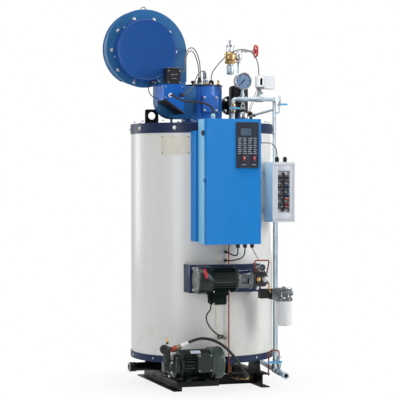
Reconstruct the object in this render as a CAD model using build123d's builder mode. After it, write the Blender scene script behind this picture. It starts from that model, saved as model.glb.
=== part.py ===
from build123d import *
import math
import os

# Upright once-through steam boiler on two skids, with its burner and fan on top.
# Millimetres. The origin is on the boiler's axis at floor level, +Z up, the front faces -Y.

# Jacket and its ends
JACKET_RADIUS = 416
JACKET_WALL = 60
JACKET_BOTTOM = 154
JACKET_TOP = 1517
END_PLATE = 10
BAND_THICKNESS = 4
BOTTOM_BAND_HEIGHT = 39
TOP_BAND_HEIGHT = 58
BAND_RIM = 1.5
CURVED_SEAT = 0.3
SEAM_X = -43
SEAM_WIDTH = 20
SEAM_SHEET = 2
PATCH_LEFT = -46
PATCH_RIGHT = 15
PATCH_BOTTOM = 250
PATCH_TOP = 330
BAND_RADIUS = JACKET_RADIUS + BAND_THICKNESS

# Skids
SKID_INSET = 176
SKID_WIDTH = 50
SKID_HEIGHT = 80
SKID_SHEET = 6
SKID_HALF_LENGTH = 370
SKID_ROOT = 5
LEG_LENGTH = 190
LEG_SLOPE = 20
LEG_THICKNESS = 10
LEG_Y = 232
BEAM_SHEET = 8
BEAM_WIDTH = 24
BEAM_CLEAR = 12
ANCHOR_OUT = 28
ANCHOR_INSET = 35
ANCHOR_HOLE_RADIUS = 9
SKID_WEB_X = JACKET_RADIUS - SKID_INSET
ANCHOR_X = SKID_WEB_X + ANCHOR_OUT
ANCHOR_Y = SKID_HALF_LENGTH - ANCHOR_INSET

# Lifting lugs
LUG_INSET = 108
LUG_WIDTH = 80
LUG_HEIGHT = 86
LUG_THICKNESS = 12
LUG_HOLE_RADIUS = 22
LUG_HOLE_HEIGHT = 48
LUG_CORNER = 12
LUG_PLACES = ((LUG_INSET - JACKET_RADIUS, 0), (JACKET_RADIUS - LUG_INSET, 80))

# Burner drum with its lid and inspection plate
DRUM_RADIUS = 120
DRUM_TOP = 1741
DRUM_LID = 7
DRUM_LID_OVERHANG = 4
DRUM_LID_RIM = 2
DRUM_FOOT_RADIUS = 152
DRUM_FOOT = 12
DRUM_WELD = 5
PEEP_X = 8
PEEP_Z = 1632
PEEP_SIZE = 100
PEEP_PAD = 8
PEEP_PLATE = 6
PEEP_CORNER = 8
LID_TOP = DRUM_TOP + DRUM_LID

# Fan: scroll casing, flange, inlet cover, outlet duct and motor
FAN_X = -386
FAN_Z = 1933
FAN_FRONT = -100
FAN_DEPTH = 90
SCROLL_RADIUS = 205
SCROLL_GROWTH = 20
SIDE_PLATE = 3
SIDE_PLATE_LIP = 5
FAN_FLANGE_RADIUS = 211
FAN_FLANGE = 6
FAN_COVER_RADIUS = 176
FAN_COVER_DEPTH = 67
FAN_COVER_BEAD = 9
FAN_COVER_STEP = 4
FAN_EYE_RADIUS = 16
FAN_EYE_WIRE = 4
FAN_EYE_LIFT = 8
DUCT_WIDTH = 172
DUCT_CORNER = 105
DUCT_BOTTOM = 1546
DUCT_INNER = 1738
DUCT_JOINT = 1760
DUCT_LEG_X = -205
DUCT_LEG_RADIUS = 7
FAN_MOTOR_RADIUS = 82
FAN_MOTOR_LENGTH = 210
FAN_MOTOR_FLANGE = 14

# Damper box and ignition transformer
DAMPER_LEFT = -313
DAMPER_RIGHT = -193
DAMPER_DEPTH = 160
DAMPER_TOP = 1737
DAMPER_LOW_LEFT = 1646
DAMPER_LOW_RIGHT = 1568
DAMPER_LID = 4
DAMPER_GLAND_LEFT = (-276, 1672)
DAMPER_GLAND_RIGHT = (-207, 1675)
DAMPER_FRONT = FAN_FRONT - DAMPER_DEPTH
IGNITION_LEFT = -292
IGNITION_WIDTH = 80
IGNITION_DEPTH = 85
IGNITION_HEIGHT = 92
IGNITION_LID = 8
IGNITION_POST = 6
IGNITION_POST_RADIUS = 8
IGNITION_POSTS_Y = (-196, -226)
IGNITION_POST_Z = 1806

# Fittings on the drum lid
SPARK_PLUG_X = -30
LID_FITTINGS_Y = -50
FLAME_EYE_X = 10
SOLENOID_X = 42

# Steam column with outlet and safety valve
COLUMN_X = 231
COLUMN_RADIUS = 57
COLUMN_TOP = 1752
COLUMN_DOME = 18
RISER_RADIUS = 9
STEAM_OUTLET_Z = 1640
STEAM_OUTLET_Y = 150
STEAM_OUTLET_RADIUS = 21
STEAM_FLANGE = 14
STEAM_FLANGE_RADIUS = 58
VALVE_X = 178
VALVE_Z = 1935
VALVE_RADIUS = 34
OUTLET_RADIUS = 24
OUTLET_LENGTH = 64
BONNET_RADIUS = 19
BRANCH_RADIUS = 14

# Flue outlet at the back
FLUE_RADIUS = 90
FLUE_WALL = 3
FLUE_Z = 1300
FLUE_REACH = 84
FLUE_COLLAR = 26
FLUE_COLLAR_THICKNESS = 16

# Manifold with gauge, pressure switch and cock
PIPE_RADIUS = 12
PIPE_BEND = 18
SLEEVE = 4
MANIFOLD_Z = 1662
MANIFOLD_LEFT = (141, -150)
GAUGE_X = 196
GAUGE_RADIUS = 52
GAUGE_DEPTH = 46
GAUGE_BEZEL = 8
GAUGE_Z = 1767
GAUGE_STEM_RADIUS = 8
COCK_Z = 1608
COCK_WING = 33
SWITCH_X = 294
SWITCH_WIDTH = 48
SWITCH_DEPTH = 44
SWITCH_BOTTOM = 1720
SWITCH_HEIGHT = 76
SWITCH_STEM_RADIUS = 9
SWITCH_REAR_WIDTH = 70

# Water column, drain header, drain valve and drain line
UPPER_PIPE_ANGLE = -28.5
UPPER_PIPE_CLEAR = 15.4
LOWER_PIPE_ANGLE = -28.3
LOWER_PIPE_CLEAR = 22.5
UPPER_PIPE_RADIUS = 10
LOWER_PIPE_RADIUS = 15
REDUCER_Z = 1120
HEADER_Z = 77
HEADER_TURN = 81.6
HEADER_AHEAD = 275
HEADER_BEHIND = 393
HEADER_BORE_DEPTH = 60
SIDE_PIPE_REACH = 33
SIDE_PIPE_LOW = 1583
SIDE_PIPE_TOP = 1684
SIDE_COCK_Z = 1633
DRAIN_VALVE_AHEAD = 95
DRAIN_VALVE_RADIUS = 15
DRAIN_VALVE_LOW = 106
DRAIN_VALVE_TOP = 166
DRAIN_LOOP_TOP = 203
DRAIN_LINE_REACH = 65
DRAIN_LINE_END = 58
DRAIN_LINE_RADIUS = 4
LEVER_LENGTH = 82
LEVER_SHEET = 3
LEVER_REACH = 12
LEVER_Z = 138
LEVER_CLEAR = 0.5

# Control cabinet with standoff, door and display
STANDOFF_GAP = 49
CABINET_DEPTH = 110
CABINET_LEFT = -177
CABINET_RIGHT = 141
CABINET_BOTTOM = 837
CABINET_TOP = 1530
CABINET_SHEET = 3
CABINET_CORNER = 4
CABINET_RETURN = 12
DOOR_GAP = 5
DOOR_DEPTH = 38
STANDOFF_LEFT = -190
STANDOFF_BOTTOM = 849
STANDOFF_TOP = 1467
STANDOFF_BACK = -300
HINGE_OUT = 9
HINGE_RADIUS = 7
HINGE_PIN_RADIUS = 4
HINGE_CLEARANCE = 0.3
HINGE_HEIGHTS = (930, 1400)
KNUCKLE = 22
LOCK_Z = 1192
LOCK_RADIUS = 11
DISPLAY_LEFT = -7
DISPLAY_RIGHT = 126
DISPLAY_BOTTOM = 1258
DISPLAY_TOP = 1512
DISPLAY_THICKNESS = 4
SCREEN_SIZE = (66, 40)
SCREEN_PLACE = (52, 1458)
ROCKER_SIZE = (22, 34)
ROCKER_PLACES = ((38, 1308), (98, 1308))
CABINET_BACK = -(JACKET_RADIUS + STANDOFF_GAP)
CABINET_MOUTH = CABINET_BACK - CABINET_DEPTH
DOOR_BACK = CABINET_MOUTH - DOOR_GAP
DOOR_FRONT = DOOR_BACK - DOOR_DEPTH
HINGE_X = CABINET_RIGHT + HINGE_OUT
HINGE_Y = DOOR_BACK

# Glands, grommets and the cables' own sizes
GLAND_RADIUS = 12
GLAND_LENGTH = 30
GLAND_SHORT = 25
GLAND_Y = CABINET_MOUTH + 45
TOP_GLAND_X = -111
BOTTOM_GLANDS = (36, 78, 120)
SIDE_GLAND_Y = CABINET_MOUTH + 55
SIDE_GLAND_Z = 1400
DAMPER_GLAND = 16
GROMMETS = ((0, 786), (0, 738), (-20, 310))
GROMMET_RADIUS = 8
GROMMET_REACH = 18

# Junction box with its window and terminal rows
BOX_LEFT = 272
BOX_RIGHT = 412
BOX_INSET = 94
BOX_DEPTH = 130
BOX_BOTTOM = 952
BOX_TOP = 1294
BOX_CORNER = 4
WINDOW_DEPTH = 10
WINDOW_SIDE = 12
WINDOW_END = 16
TERMINAL_HEIGHTS = (1203, 1152, 1101, 1050)
TERMINAL_SIZE = (26, 35)
TERMINAL_THICKNESS = 8
BAR_WIDTH = 14
BAR_ENDS = (1012, 1237)
BAR_POINT = 8
BAR_THICKNESS = 6
BOX_GLANDS = ((324, 0), (362, -28))
BOX_BACK = -(JACKET_RADIUS - BOX_INSET)
BOX_FRONT = BOX_BACK - BOX_DEPTH
BOX_GLAND_Y = BOX_BACK - 68

# Fuel pump set on its bracket plate
PLATE_GAP = 51
PLATE_LEFT = -225
PLATE_RIGHT = 197
PLATE_BOTTOM = 561
PLATE_TOP = 718
PLATE_SHEET = 5
PLATE_BACK = -330
FUEL_REACH = 85
FUEL_Z = 640
FUEL_MOTOR_RADIUS = 72
FUEL_COVER_RADIUS = 78
FUEL_MOTOR_LEFT = -219
FUEL_COVER_LENGTH = 76
FUEL_MOTOR_RIGHT = 10
FUEL_BOX = (-139, -50)
FUEL_BOX_BOTTOM = 503
FUEL_BOX_HALF = 38
FUEL_GLAND_X = -130
COUPLING_RADIUS = 50
FUEL_PUMP_LEFT = 100
FUEL_PUMP_RIGHT = 200
FUEL_PUMP_RADIUS = 42
FUEL_PUMP_FLANGE = 52
FUEL_LINE_RADIUS = 4
FUEL_OUT_X = 128
CAPILLARY_OUT = 24
CAPILLARY_RADIUS = 2
FUEL_GAUGE_X = 152
FUEL_GAUGE_RADIUS = 21
FILTER_REACH = 136
CANISTER_RADIUS = 46
CANISTER_BOTTOM = 365
CANISTER_TOP = 507
HEAD_TOP = 578
HEAD_RADIUS = 48
FILTER_ARM_HEIGHT = 56
FILTER_ARM_DROP = 2
FILTER_ARM_SHEET = 5
FILTER_ARM_DEPTH = 47
FILTER_ARM_END = 71
FILTER_PORT_START = 83
FILTER_PORT_END = 33
FILTER_PORT_HEIGHT = 62
FILTER_PORT_HALF = 26
FILTER_SIDE_PORT = 15
FILTER_SIDE_DROP = 30
COPPER_X = 18
COPPER_CLEAR = 13
COPPER_BOTTOM = 100
PLATE_FRONT = -(JACKET_RADIUS + PLATE_GAP)
FUEL_Y = PLATE_FRONT - FUEL_REACH
FILTER_X = PLATE_RIGHT + FILTER_REACH
FILTER_Y = PLATE_FRONT - 13

# Motor castings
FIN_HEIGHT = 9
FIN_THICKNESS = 3
COVER_RIM = 12
GRILLE_DEPTH = 4
GRILLE_SLOTS = 14

# Feed water pump on its base plate
FEED_BASE_SHEET = 8
FEED_BASE_LEFT = -345
FEED_BASE_RIGHT = -100
FEED_BASE_AHEAD = 80
FEED_BASE_OVERLAP = 30
FEED_BASE_LIP = 22
FEED_CLEAR = 109
FEED_Z = 178
FEED_MOTOR_RADIUS = 78
FEED_COVER_RADIUS = 88
FEED_MOTOR_LEFT = -313
FEED_COVER_LEFT = -139
FEED_COVER_RIGHT = -62
FEED_FEET = (-286, -176)
FEED_FOOT_WIDTH = 26
FEED_FOOT_HALF = 72
FEED_BOX_LEFT = -232
FEED_BOX_RIGHT = -150
FEED_BOX_BOTTOM = 138
FEED_BOX_TOP = 240
FEED_BOX_REACH = 112
FEED_CASING_RADIUS = 62
FEED_CASING_DEPTH = 34
FEED_CASING_DROP = 14
FEED_NOSE = 53
FEED_NECK_X = -378
FEED_NECK_RADIUS = 20
FEED_NECK_TOP = 262
FEED_CAP_RADIUS = 26
HOSE_START = (-255, -525, 293)
HOSE_END = (108, -488, 86)
HOSE_TAIL_RADIUS = 11
WATER_RISE = (70, -300)
WATER_LOW = 72
WATER_FRONT = -440
FEED_BASE_Z = SKID_HEIGHT
FEED_Y = -(JACKET_RADIUS + FEED_CLEAR)
FEED_AXIS_Z = FEED_Z - FEED_CASING_DROP

# Water inlet pipe under the boiler
INLET_Y = -50
INLET_Z = 109
INLET_RADIUS = 24
INLET_END = -462
INLET_SLEEVE = 42
INLET_SLEEVE_RADIUS = 27
INLET_RISE = -134
INLET_BEND = 40


def block(low, high, mode=Mode.ADD):
    """A box between its lowest and highest corners."""
    size = [b - a for a, b in zip(low, high)]
    with Locations(tuple((a + b) / 2 for a, b in zip(low, high))):
        Box(*size, mode=mode)


def soft_block(low, high, corner, mode=Mode.ADD):
    """A box with rounded upright corners."""
    middle = [(a + b) / 2 for a, b in zip(low, high)]
    with BuildSketch(Plane(origin=(middle[0], middle[1], low[2]))) as section:
        RectangleRounded(high[0] - low[0], high[1] - low[1], corner)
    extrude(section.sketch, amount=high[2] - low[2], mode=mode)


def rod(start, end, radius, mode=Mode.ADD):
    """A round bar between two points."""
    run = Vector(*end) - Vector(*start)
    with BuildSketch(Plane(origin=start, z_dir=run)) as section:
        Circle(radius)
    extrude(section.sketch, amount=run.length, mode=mode)


def hexagon(start, end, across, mode=Mode.ADD):
    """A hexagon bar between two points, by its width across the flats."""
    run = Vector(*end) - Vector(*start)
    with BuildSketch(Plane(origin=start, z_dir=run)) as section:
        RegularPolygon(across / 2, 6, major_radius=False)
    extrude(section.sketch, amount=run.length, mode=mode)


def turned(start, along, profile, mode=Mode.ADD):
    """A solid turned about an axis from its outline of (radius, distance) points."""
    along = Vector(*along).normalized()
    side = Vector(1, 0, 0) if abs(along.X) < 0.9 else Vector(0, 0, 1)
    side = (side - along * side.dot(along)).normalized()
    with BuildSketch(Plane(origin=start, x_dir=side, z_dir=side.cross(along))) as section:
        with BuildLine():
            Polyline((0, profile[0][1]), *profile, (0, profile[-1][1]), close=True)
        make_face()
    revolve(section.sketch, axis=Axis(start, along), mode=mode)


def bent_pipe(points, bend, radius, mode=Mode.ADD):
    """A round pipe along straight runs with equal bends."""
    with BuildLine() as route:
        FilletPolyline(*points, radius=bend)
    first_run = Vector(*points[1]) - Vector(*points[0])
    with BuildSketch(Plane(origin=points[0], z_dir=first_run)) as section:
        Circle(radius)
    sweep(section.sketch, path=route.line, mode=mode)


def finned_body(start, end, radius, fins):
    """A motor's casting with cooling fins along it and a plain shield at each end."""
    run = Vector(*end) - Vector(*start)
    with BuildSketch(Plane(origin=start, z_dir=run)) as section:
        Circle(radius - FIN_HEIGHT)
        with PolarLocations(radius - FIN_HEIGHT, fins):
            Rectangle(2 * FIN_HEIGHT, FIN_THICKNESS)
    extrude(section.sketch, amount=run.length)
    shield = 14
    for low in (0, run.length - shield):
        high = low + shield
        turned(start, run, [(radius - 3, low), (radius, low + 3), (radius, high - 3), (radius - 3, high)])


def fan_cover(start, end, radius):
    """A motor's fan cover with a rounded rim and air slots in its end."""
    run = Vector(*end) - Vector(*start)
    tip = run.length
    turned(
        start,
        run,
        [
            (radius, 0),
            (radius, tip - COVER_RIM),
            (radius - COVER_RIM * 0.3, tip - COVER_RIM * 0.3),
            (radius - COVER_RIM, tip),
        ],
    )
    with BuildSketch(Plane(origin=end, z_dir=run)) as grille:
        with PolarLocations(radius * 0.52, GRILLE_SLOTS):
            Rectangle(radius * 0.48, radius * 0.09)
    extrude(grille.sketch, amount=-GRILLE_DEPTH, mode=Mode.SUBTRACT)


def cut_to_jacket(top_band=True):
    """Trims a bracket so that it seats against the round jacket and its top band."""
    rod((0, 0, 0), (0, 0, JACKET_TOP), JACKET_RADIUS + CURVED_SEAT, mode=Mode.SUBTRACT)
    if top_band:
        band_low = JACKET_TOP - TOP_BAND_HEIGHT - CURVED_SEAT
        rod((0, 0, band_low), (0, 0, JACKET_TOP), BAND_RADIUS + CURVED_SEAT, mode=Mode.SUBTRACT)


def beside_jacket(angle, clear):
    """The plan place at an angle from +X, clear of the jacket by a distance."""
    reach = JACKET_RADIUS + clear
    return (reach * math.cos(math.radians(angle)), reach * math.sin(math.radians(angle)))


UPPER_PIPE = beside_jacket(UPPER_PIPE_ANGLE, UPPER_PIPE_CLEAR)
LOWER_PIPE = beside_jacket(LOWER_PIPE_ANGLE, LOWER_PIPE_CLEAR)


def on_header(ahead):
    """A plan place on the drain header, ahead of the lower pipe by a distance."""
    turn = math.radians(HEADER_TURN)
    return (LOWER_PIPE[0] - ahead * math.cos(turn), LOWER_PIPE[1] - ahead * math.sin(turn))


def on_manifold(x):
    """The point of the manifold's middle line at a given X."""
    share = (x - MANIFOLD_LEFT[0]) / (UPPER_PIPE[0] - MANIFOLD_LEFT[0])
    return (x, MANIFOLD_LEFT[1] + share * (UPPER_PIPE[1] - MANIFOLD_LEFT[1]), MANIFOLD_Z)


# Jacket, ends and bands
with BuildPart() as jacket_shell:
    with BuildSketch(Plane.XY.offset(JACKET_BOTTOM + END_PLATE)):
        Circle(JACKET_RADIUS)
        Circle(JACKET_RADIUS - JACKET_WALL, mode=Mode.SUBTRACT)
    extrude(amount=JACKET_TOP - JACKET_BOTTOM - 2 * END_PLATE)

with BuildPart() as base_plate:
    with BuildSketch(Plane.XY.offset(JACKET_BOTTOM)):
        Circle(JACKET_RADIUS)
    extrude(amount=END_PLATE)

with BuildPart() as top_cover:
    with BuildSketch(Plane.XY.offset(JACKET_TOP - END_PLATE)):
        Circle(JACKET_RADIUS)
    extrude(amount=END_PLATE)

with BuildPart() as jacket_bands:
    for low, height in (
        (JACKET_BOTTOM, BOTTOM_BAND_HEIGHT),
        (JACKET_TOP - TOP_BAND_HEIGHT, TOP_BAND_HEIGHT),
    ):
        turned(
            (0, 0, low),
            (0, 0, 1),
            [
                (BAND_RADIUS - BAND_RIM, 0),
                (BAND_RADIUS, BAND_RIM),
                (BAND_RADIUS, height - BAND_RIM),
                (BAND_RADIUS - BAND_RIM, height),
            ],
        )
    rod((0, 0, 0), (0, 0, JACKET_TOP), JACKET_RADIUS + CURVED_SEAT, mode=Mode.SUBTRACT)

SEAM_RADIUS = JACKET_RADIUS + CURVED_SEAT + SEAM_SHEET
with BuildPart() as seam_cover:
    block(
        (SEAM_X - SEAM_WIDTH / 2, -JACKET_RADIUS - SEAM_WIDTH, PATCH_TOP),
        (SEAM_X + SEAM_WIDTH / 2, 0, STANDOFF_BOTTOM - 1),
    )
    block((PATCH_LEFT, -JACKET_RADIUS - SEAM_WIDTH, PATCH_BOTTOM), (PATCH_RIGHT, 0, PATCH_TOP))
    rod((0, 0, PATCH_BOTTOM), (0, 0, STANDOFF_BOTTOM), SEAM_RADIUS, mode=Mode.INTERSECT)
    rod((0, 0, PATCH_BOTTOM), (0, 0, STANDOFF_BOTTOM), JACKET_RADIUS + CURVED_SEAT, mode=Mode.SUBTRACT)

with BuildPart() as lifting_lugs:
    for lug_x, lug_y in LUG_PLACES:
        with BuildSketch(Plane.XZ.offset(-lug_y - LUG_THICKNESS / 2)):
            with Locations((lug_x, JACKET_TOP + LUG_HEIGHT / 2)):
                RectangleRounded(LUG_WIDTH, LUG_HEIGHT, LUG_CORNER)
            with Locations((lug_x, JACKET_TOP + LUG_CORNER / 2)):
                Rectangle(LUG_WIDTH, LUG_CORNER)
            with Locations((lug_x, JACKET_TOP + LUG_HOLE_HEIGHT)):
                Circle(LUG_HOLE_RADIUS, mode=Mode.SUBTRACT)
        extrude(amount=LUG_THICKNESS)

# Skids of rolled channel with legs and cross beams
with BuildPart() as base_skids:
    with BuildSketch(Plane.XZ.offset(-SKID_HALF_LENGTH)) as channel:
        with Locations((SKID_WEB_X + SKID_WIDTH / 2, SKID_HEIGHT / 2)):
            Rectangle(SKID_WIDTH, SKID_HEIGHT)
        with Locations((SKID_WEB_X + SKID_SHEET + SKID_WIDTH / 2, SKID_HEIGHT / 2)):
            Rectangle(SKID_WIDTH, SKID_HEIGHT - 2 * SKID_SHEET, mode=Mode.SUBTRACT)
        inner_face = SKID_WEB_X + SKID_SHEET
        inner_corners = channel.vertices().filter_by_position(Axis.X, inner_face - 1, inner_face + 1)
        fillet(inner_corners, SKID_ROOT)
    extrude(amount=2 * SKID_HALF_LENGTH)
    for leg_y in (-LEG_Y, LEG_Y):
        with BuildSketch(Plane.YZ.offset(SKID_WEB_X)):
            with BuildLine():
                Polyline(
                    (leg_y - LEG_LENGTH / 2, SKID_HEIGHT),
                    (leg_y - LEG_LENGTH / 2 + LEG_SLOPE, JACKET_BOTTOM),
                    (leg_y + LEG_LENGTH / 2 - LEG_SLOPE, JACKET_BOTTOM),
                    (leg_y + LEG_LENGTH / 2, SKID_HEIGHT),
                    close=True,
                )
            make_face()
        extrude(amount=LEG_THICKNESS)
        block(
            (SKID_WEB_X, leg_y - LEG_THICKNESS / 2, SKID_HEIGHT),
            (SKID_WEB_X + SKID_WIDTH - LEG_THICKNESS, leg_y + LEG_THICKNESS / 2, JACKET_BOTTOM),
        )
    with BuildSketch(Plane.XY):
        with Locations((ANCHOR_X, -ANCHOR_Y), (ANCHOR_X, ANCHOR_Y)):
            Circle(ANCHOR_HOLE_RADIUS)
    extrude(amount=SKID_SHEET, mode=Mode.SUBTRACT)
    mirror(about=Plane.YZ)
    for beam_y in (-LEG_Y, LEG_Y):
        block(
            (-SKID_WEB_X, beam_y - BEAM_SHEET / 2, BEAM_CLEAR),
            (SKID_WEB_X, beam_y + BEAM_SHEET / 2, SKID_HEIGHT - BEAM_CLEAR),
        )
        block(
            (-SKID_WEB_X, beam_y - BEAM_WIDTH, BEAM_CLEAR),
            (SKID_WEB_X, beam_y - BEAM_SHEET / 2, BEAM_CLEAR + SKID_SHEET),
        )

# Burner drum on the top cover, with the pad of its inspection plate
with BuildPart() as burner_drum:
    turned(
        (0, 0, JACKET_TOP),
        (0, 0, 1),
        [
            (DRUM_FOOT_RADIUS - 2, 0),
            (DRUM_FOOT_RADIUS, 2),
            (DRUM_FOOT_RADIUS, DRUM_FOOT),
            (DRUM_RADIUS + DRUM_WELD, DRUM_FOOT),
            (DRUM_RADIUS, DRUM_FOOT + DRUM_WELD),
            (DRUM_RADIUS, DRUM_TOP - JACKET_TOP),
        ],
    )
    with BuildSketch(Plane.XZ.offset(DRUM_RADIUS / 2)):
        with Locations((PEEP_X, PEEP_Z)):
            RectangleRounded(PEEP_SIZE, PEEP_SIZE, PEEP_CORNER)
    extrude(amount=DRUM_RADIUS / 2 + PEEP_PAD)

with BuildPart() as drum_lid:
    rim = DRUM_RADIUS + DRUM_LID_OVERHANG
    turned(
        (0, 0, DRUM_TOP),
        (0, 0, 1),
        [(rim, 0), (rim, DRUM_LID - DRUM_LID_RIM), (rim - DRUM_LID_RIM, DRUM_LID)],
    )

with BuildPart() as inspection_plate:
    with BuildSketch(Plane.XZ.offset(DRUM_RADIUS + PEEP_PAD)):
        with Locations((PEEP_X, PEEP_Z)):
            RectangleRounded(PEEP_SIZE - 4, PEEP_SIZE - 4, PEEP_CORNER - 2)
    extrude(amount=PEEP_PLATE)
    chamfer(inspection_plate.faces().sort_by(Axis.Y)[0].edges(), 1.5)

# Fan: the scroll opens out to the right and blows down into the duct
fan_back = FAN_FRONT + FAN_DEPTH
half_step = SCROLL_GROWTH / 2
scroll_right = FAN_X + half_step + SCROLL_RADIUS + 2 * SCROLL_GROWTH
scroll_top = FAN_Z + half_step + SCROLL_RADIUS + SCROLL_GROWTH
duct_left = scroll_right - DUCT_WIDTH

def scroll_outline():
    """Draws the fan's scroll, which opens downwards into the duct, in the current sketch."""
    low_left = (FAN_X - half_step, FAN_Z + half_step)
    up_left = (FAN_X + half_step, FAN_Z + half_step)
    up_right = (FAN_X + half_step, FAN_Z - half_step)
    with BuildLine() as outline:
        first = CenterArc(low_left, SCROLL_RADIUS, 180, 90)
        CenterArc(up_left, SCROLL_RADIUS + SCROLL_GROWTH, 90, 90)
        CenterArc(up_right, SCROLL_RADIUS + 2 * SCROLL_GROWTH, 0, 90)
        Polyline(
            (scroll_right, FAN_Z - half_step),
            (scroll_right, DUCT_JOINT),
            (duct_left, DUCT_JOINT),
            first @ 1,
        )
    make_face(outline.edges())


with BuildPart() as fan_casing:
    with BuildSketch(Plane.XZ.offset(-fan_back)):
        scroll_outline()
    extrude(amount=FAN_DEPTH)
    for plate_front in (FAN_FRONT, fan_back - SIDE_PLATE):
        with BuildSketch(Plane.XZ.offset(-plate_front - SIDE_PLATE)):
            scroll_outline()
            offset(amount=SIDE_PLATE_LIP)
            with Locations((FAN_X, DUCT_JOINT - SCROLL_RADIUS)):
                Rectangle(4 * SCROLL_RADIUS, 2 * SCROLL_RADIUS, mode=Mode.SUBTRACT)
        extrude(amount=SIDE_PLATE)
    with BuildSketch(Plane.XZ.offset(-FAN_FRONT - FAN_DEPTH / 2)):
        with Locations((FAN_X + half_step, scroll_top + FAN_EYE_LIFT)):
            Circle(FAN_EYE_RADIUS)
            Circle(FAN_EYE_RADIUS - FAN_EYE_WIRE, mode=Mode.SUBTRACT)
    extrude(amount=2 * FAN_EYE_WIRE)

with BuildPart() as fan_flange:
    turned(
        (FAN_X, FAN_FRONT, FAN_Z),
        (0, -1, 0),
        [(FAN_FLANGE_RADIUS, 0), (FAN_FLANGE_RADIUS, FAN_FLANGE - 1.5), (FAN_FLANGE_RADIUS - 1.5, FAN_FLANGE)],
    )

with BuildPart() as fan_inlet_cover:
    wall_radius = FAN_COVER_RADIUS - FAN_COVER_STEP
    turned(
        (FAN_X, FAN_FRONT - FAN_FLANGE, FAN_Z),
        (0, -1, 0),
        [
            (wall_radius + 8, 0),
            (wall_radius + 8, 3),
            (wall_radius, 3),
            (wall_radius, FAN_COVER_DEPTH - FAN_COVER_BEAD),
            (FAN_COVER_RADIUS, FAN_COVER_DEPTH - FAN_COVER_BEAD + 2),
            (FAN_COVER_RADIUS, FAN_COVER_DEPTH - 3),
            (FAN_COVER_RADIUS - 3, FAN_COVER_DEPTH),
            (FAN_COVER_RADIUS - 9, FAN_COVER_DEPTH),
            (FAN_COVER_RADIUS - 12, FAN_COVER_DEPTH - 3),
        ],
    )

with BuildPart() as fan_outlet_duct:
    with BuildSketch(Plane.XZ.offset(-fan_back)):
        with BuildLine():
            Polyline(
                (duct_left, DUCT_BOTTOM + DUCT_CORNER),
                (duct_left, DUCT_JOINT),
                (scroll_right, DUCT_JOINT),
                (scroll_right, DUCT_INNER),
                (-DRUM_RADIUS / 2, DUCT_INNER),
                (-DRUM_RADIUS / 2, DUCT_BOTTOM),
                (duct_left + DUCT_CORNER, DUCT_BOTTOM),
            )
            RadiusArc(
                (duct_left + DUCT_CORNER, DUCT_BOTTOM),
                (duct_left, DUCT_BOTTOM + DUCT_CORNER),
                DUCT_CORNER,
            )
        make_face()
    extrude(amount=FAN_DEPTH)
    duct_middle = (FAN_FRONT + fan_back) / 2
    rod((DUCT_LEG_X, duct_middle, JACKET_TOP), (DUCT_LEG_X, duct_middle, DUCT_BOTTOM + 5), DUCT_LEG_RADIUS)
    rod((DUCT_LEG_X, duct_middle, JACKET_TOP), (DUCT_LEG_X, duct_middle, JACKET_TOP + 5), 2 * DUCT_LEG_RADIUS)
    with BuildSketch(Plane.XY.offset(JACKET_TOP)):
        Circle(DRUM_RADIUS + CURVED_SEAT)
    extrude(amount=DRUM_TOP - JACKET_TOP, mode=Mode.SUBTRACT)

with BuildPart() as fan_motor:
    motor_end = fan_back + FAN_MOTOR_FLANGE + FAN_MOTOR_LENGTH
    cover_start = motor_end - FAN_MOTOR_RADIUS * 0.7
    turned(
        (FAN_X, fan_back, FAN_Z),
        (0, 1, 0),
        [(FAN_MOTOR_RADIUS + FAN_MOTOR_FLANGE, 0), (FAN_MOTOR_RADIUS + FAN_MOTOR_FLANGE, FAN_MOTOR_FLANGE)],
    )
    fins_start = fan_back + FAN_MOTOR_FLANGE
    finned_body((FAN_X, fins_start, FAN_Z), (FAN_X, cover_start, FAN_Z), FAN_MOTOR_RADIUS, 22)
    fan_cover((FAN_X, cover_start, FAN_Z), (FAN_X, motor_end, FAN_Z), FAN_MOTOR_RADIUS)
    block(
        (FAN_X - 45, fan_back + 40, FAN_Z + FAN_MOTOR_RADIUS - 20),
        (FAN_X + 45, fan_back + 120, FAN_Z + FAN_MOTOR_RADIUS + 38),
    )

# Damper box in front of the duct, with the ignition transformer on its lid
with BuildPart() as damper_box:
    with BuildSketch(Plane.XZ.offset(-FAN_FRONT)):
        with BuildLine():
            Polyline(
                (DAMPER_LEFT, DAMPER_TOP - DAMPER_LID),
                (DAMPER_RIGHT, DAMPER_TOP - DAMPER_LID),
                (DAMPER_RIGHT, DAMPER_LOW_RIGHT),
                (DAMPER_LEFT, DAMPER_LOW_LEFT),
                close=True,
            )
        make_face()
    extrude(amount=DAMPER_DEPTH)
    block(
        (DAMPER_LEFT - 3, DAMPER_FRONT - 3, DAMPER_TOP - DAMPER_LID),
        (DAMPER_RIGHT + 3, FAN_FRONT, DAMPER_TOP),
    )
    rod(
        (FAN_X, FAN_FRONT, FAN_Z),
        (FAN_X, FAN_FRONT - FAN_FLANGE - FAN_COVER_DEPTH - 1, FAN_Z),
        FAN_FLANGE_RADIUS + 1,
        mode=Mode.SUBTRACT,
    )

with BuildPart() as ignition_transformer:
    ignition_right = IGNITION_LEFT + IGNITION_WIDTH
    lid_low = DAMPER_TOP + IGNITION_HEIGHT - IGNITION_LID
    soft_block(
        (IGNITION_LEFT, DAMPER_FRONT, DAMPER_TOP),
        (ignition_right, DAMPER_FRONT + IGNITION_DEPTH, lid_low),
        3,
    )
    soft_block(
        (IGNITION_LEFT - 2, DAMPER_FRONT - 2, lid_low),
        (ignition_right + 2, DAMPER_FRONT + IGNITION_DEPTH + 2, DAMPER_TOP + IGNITION_HEIGHT),
        3,
    )
    for post_y in IGNITION_POSTS_Y:
        rod(
            (ignition_right, post_y, IGNITION_POST_Z),
            (ignition_right + IGNITION_POST, post_y, IGNITION_POST_Z),
            IGNITION_POST_RADIUS,
        )

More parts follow.
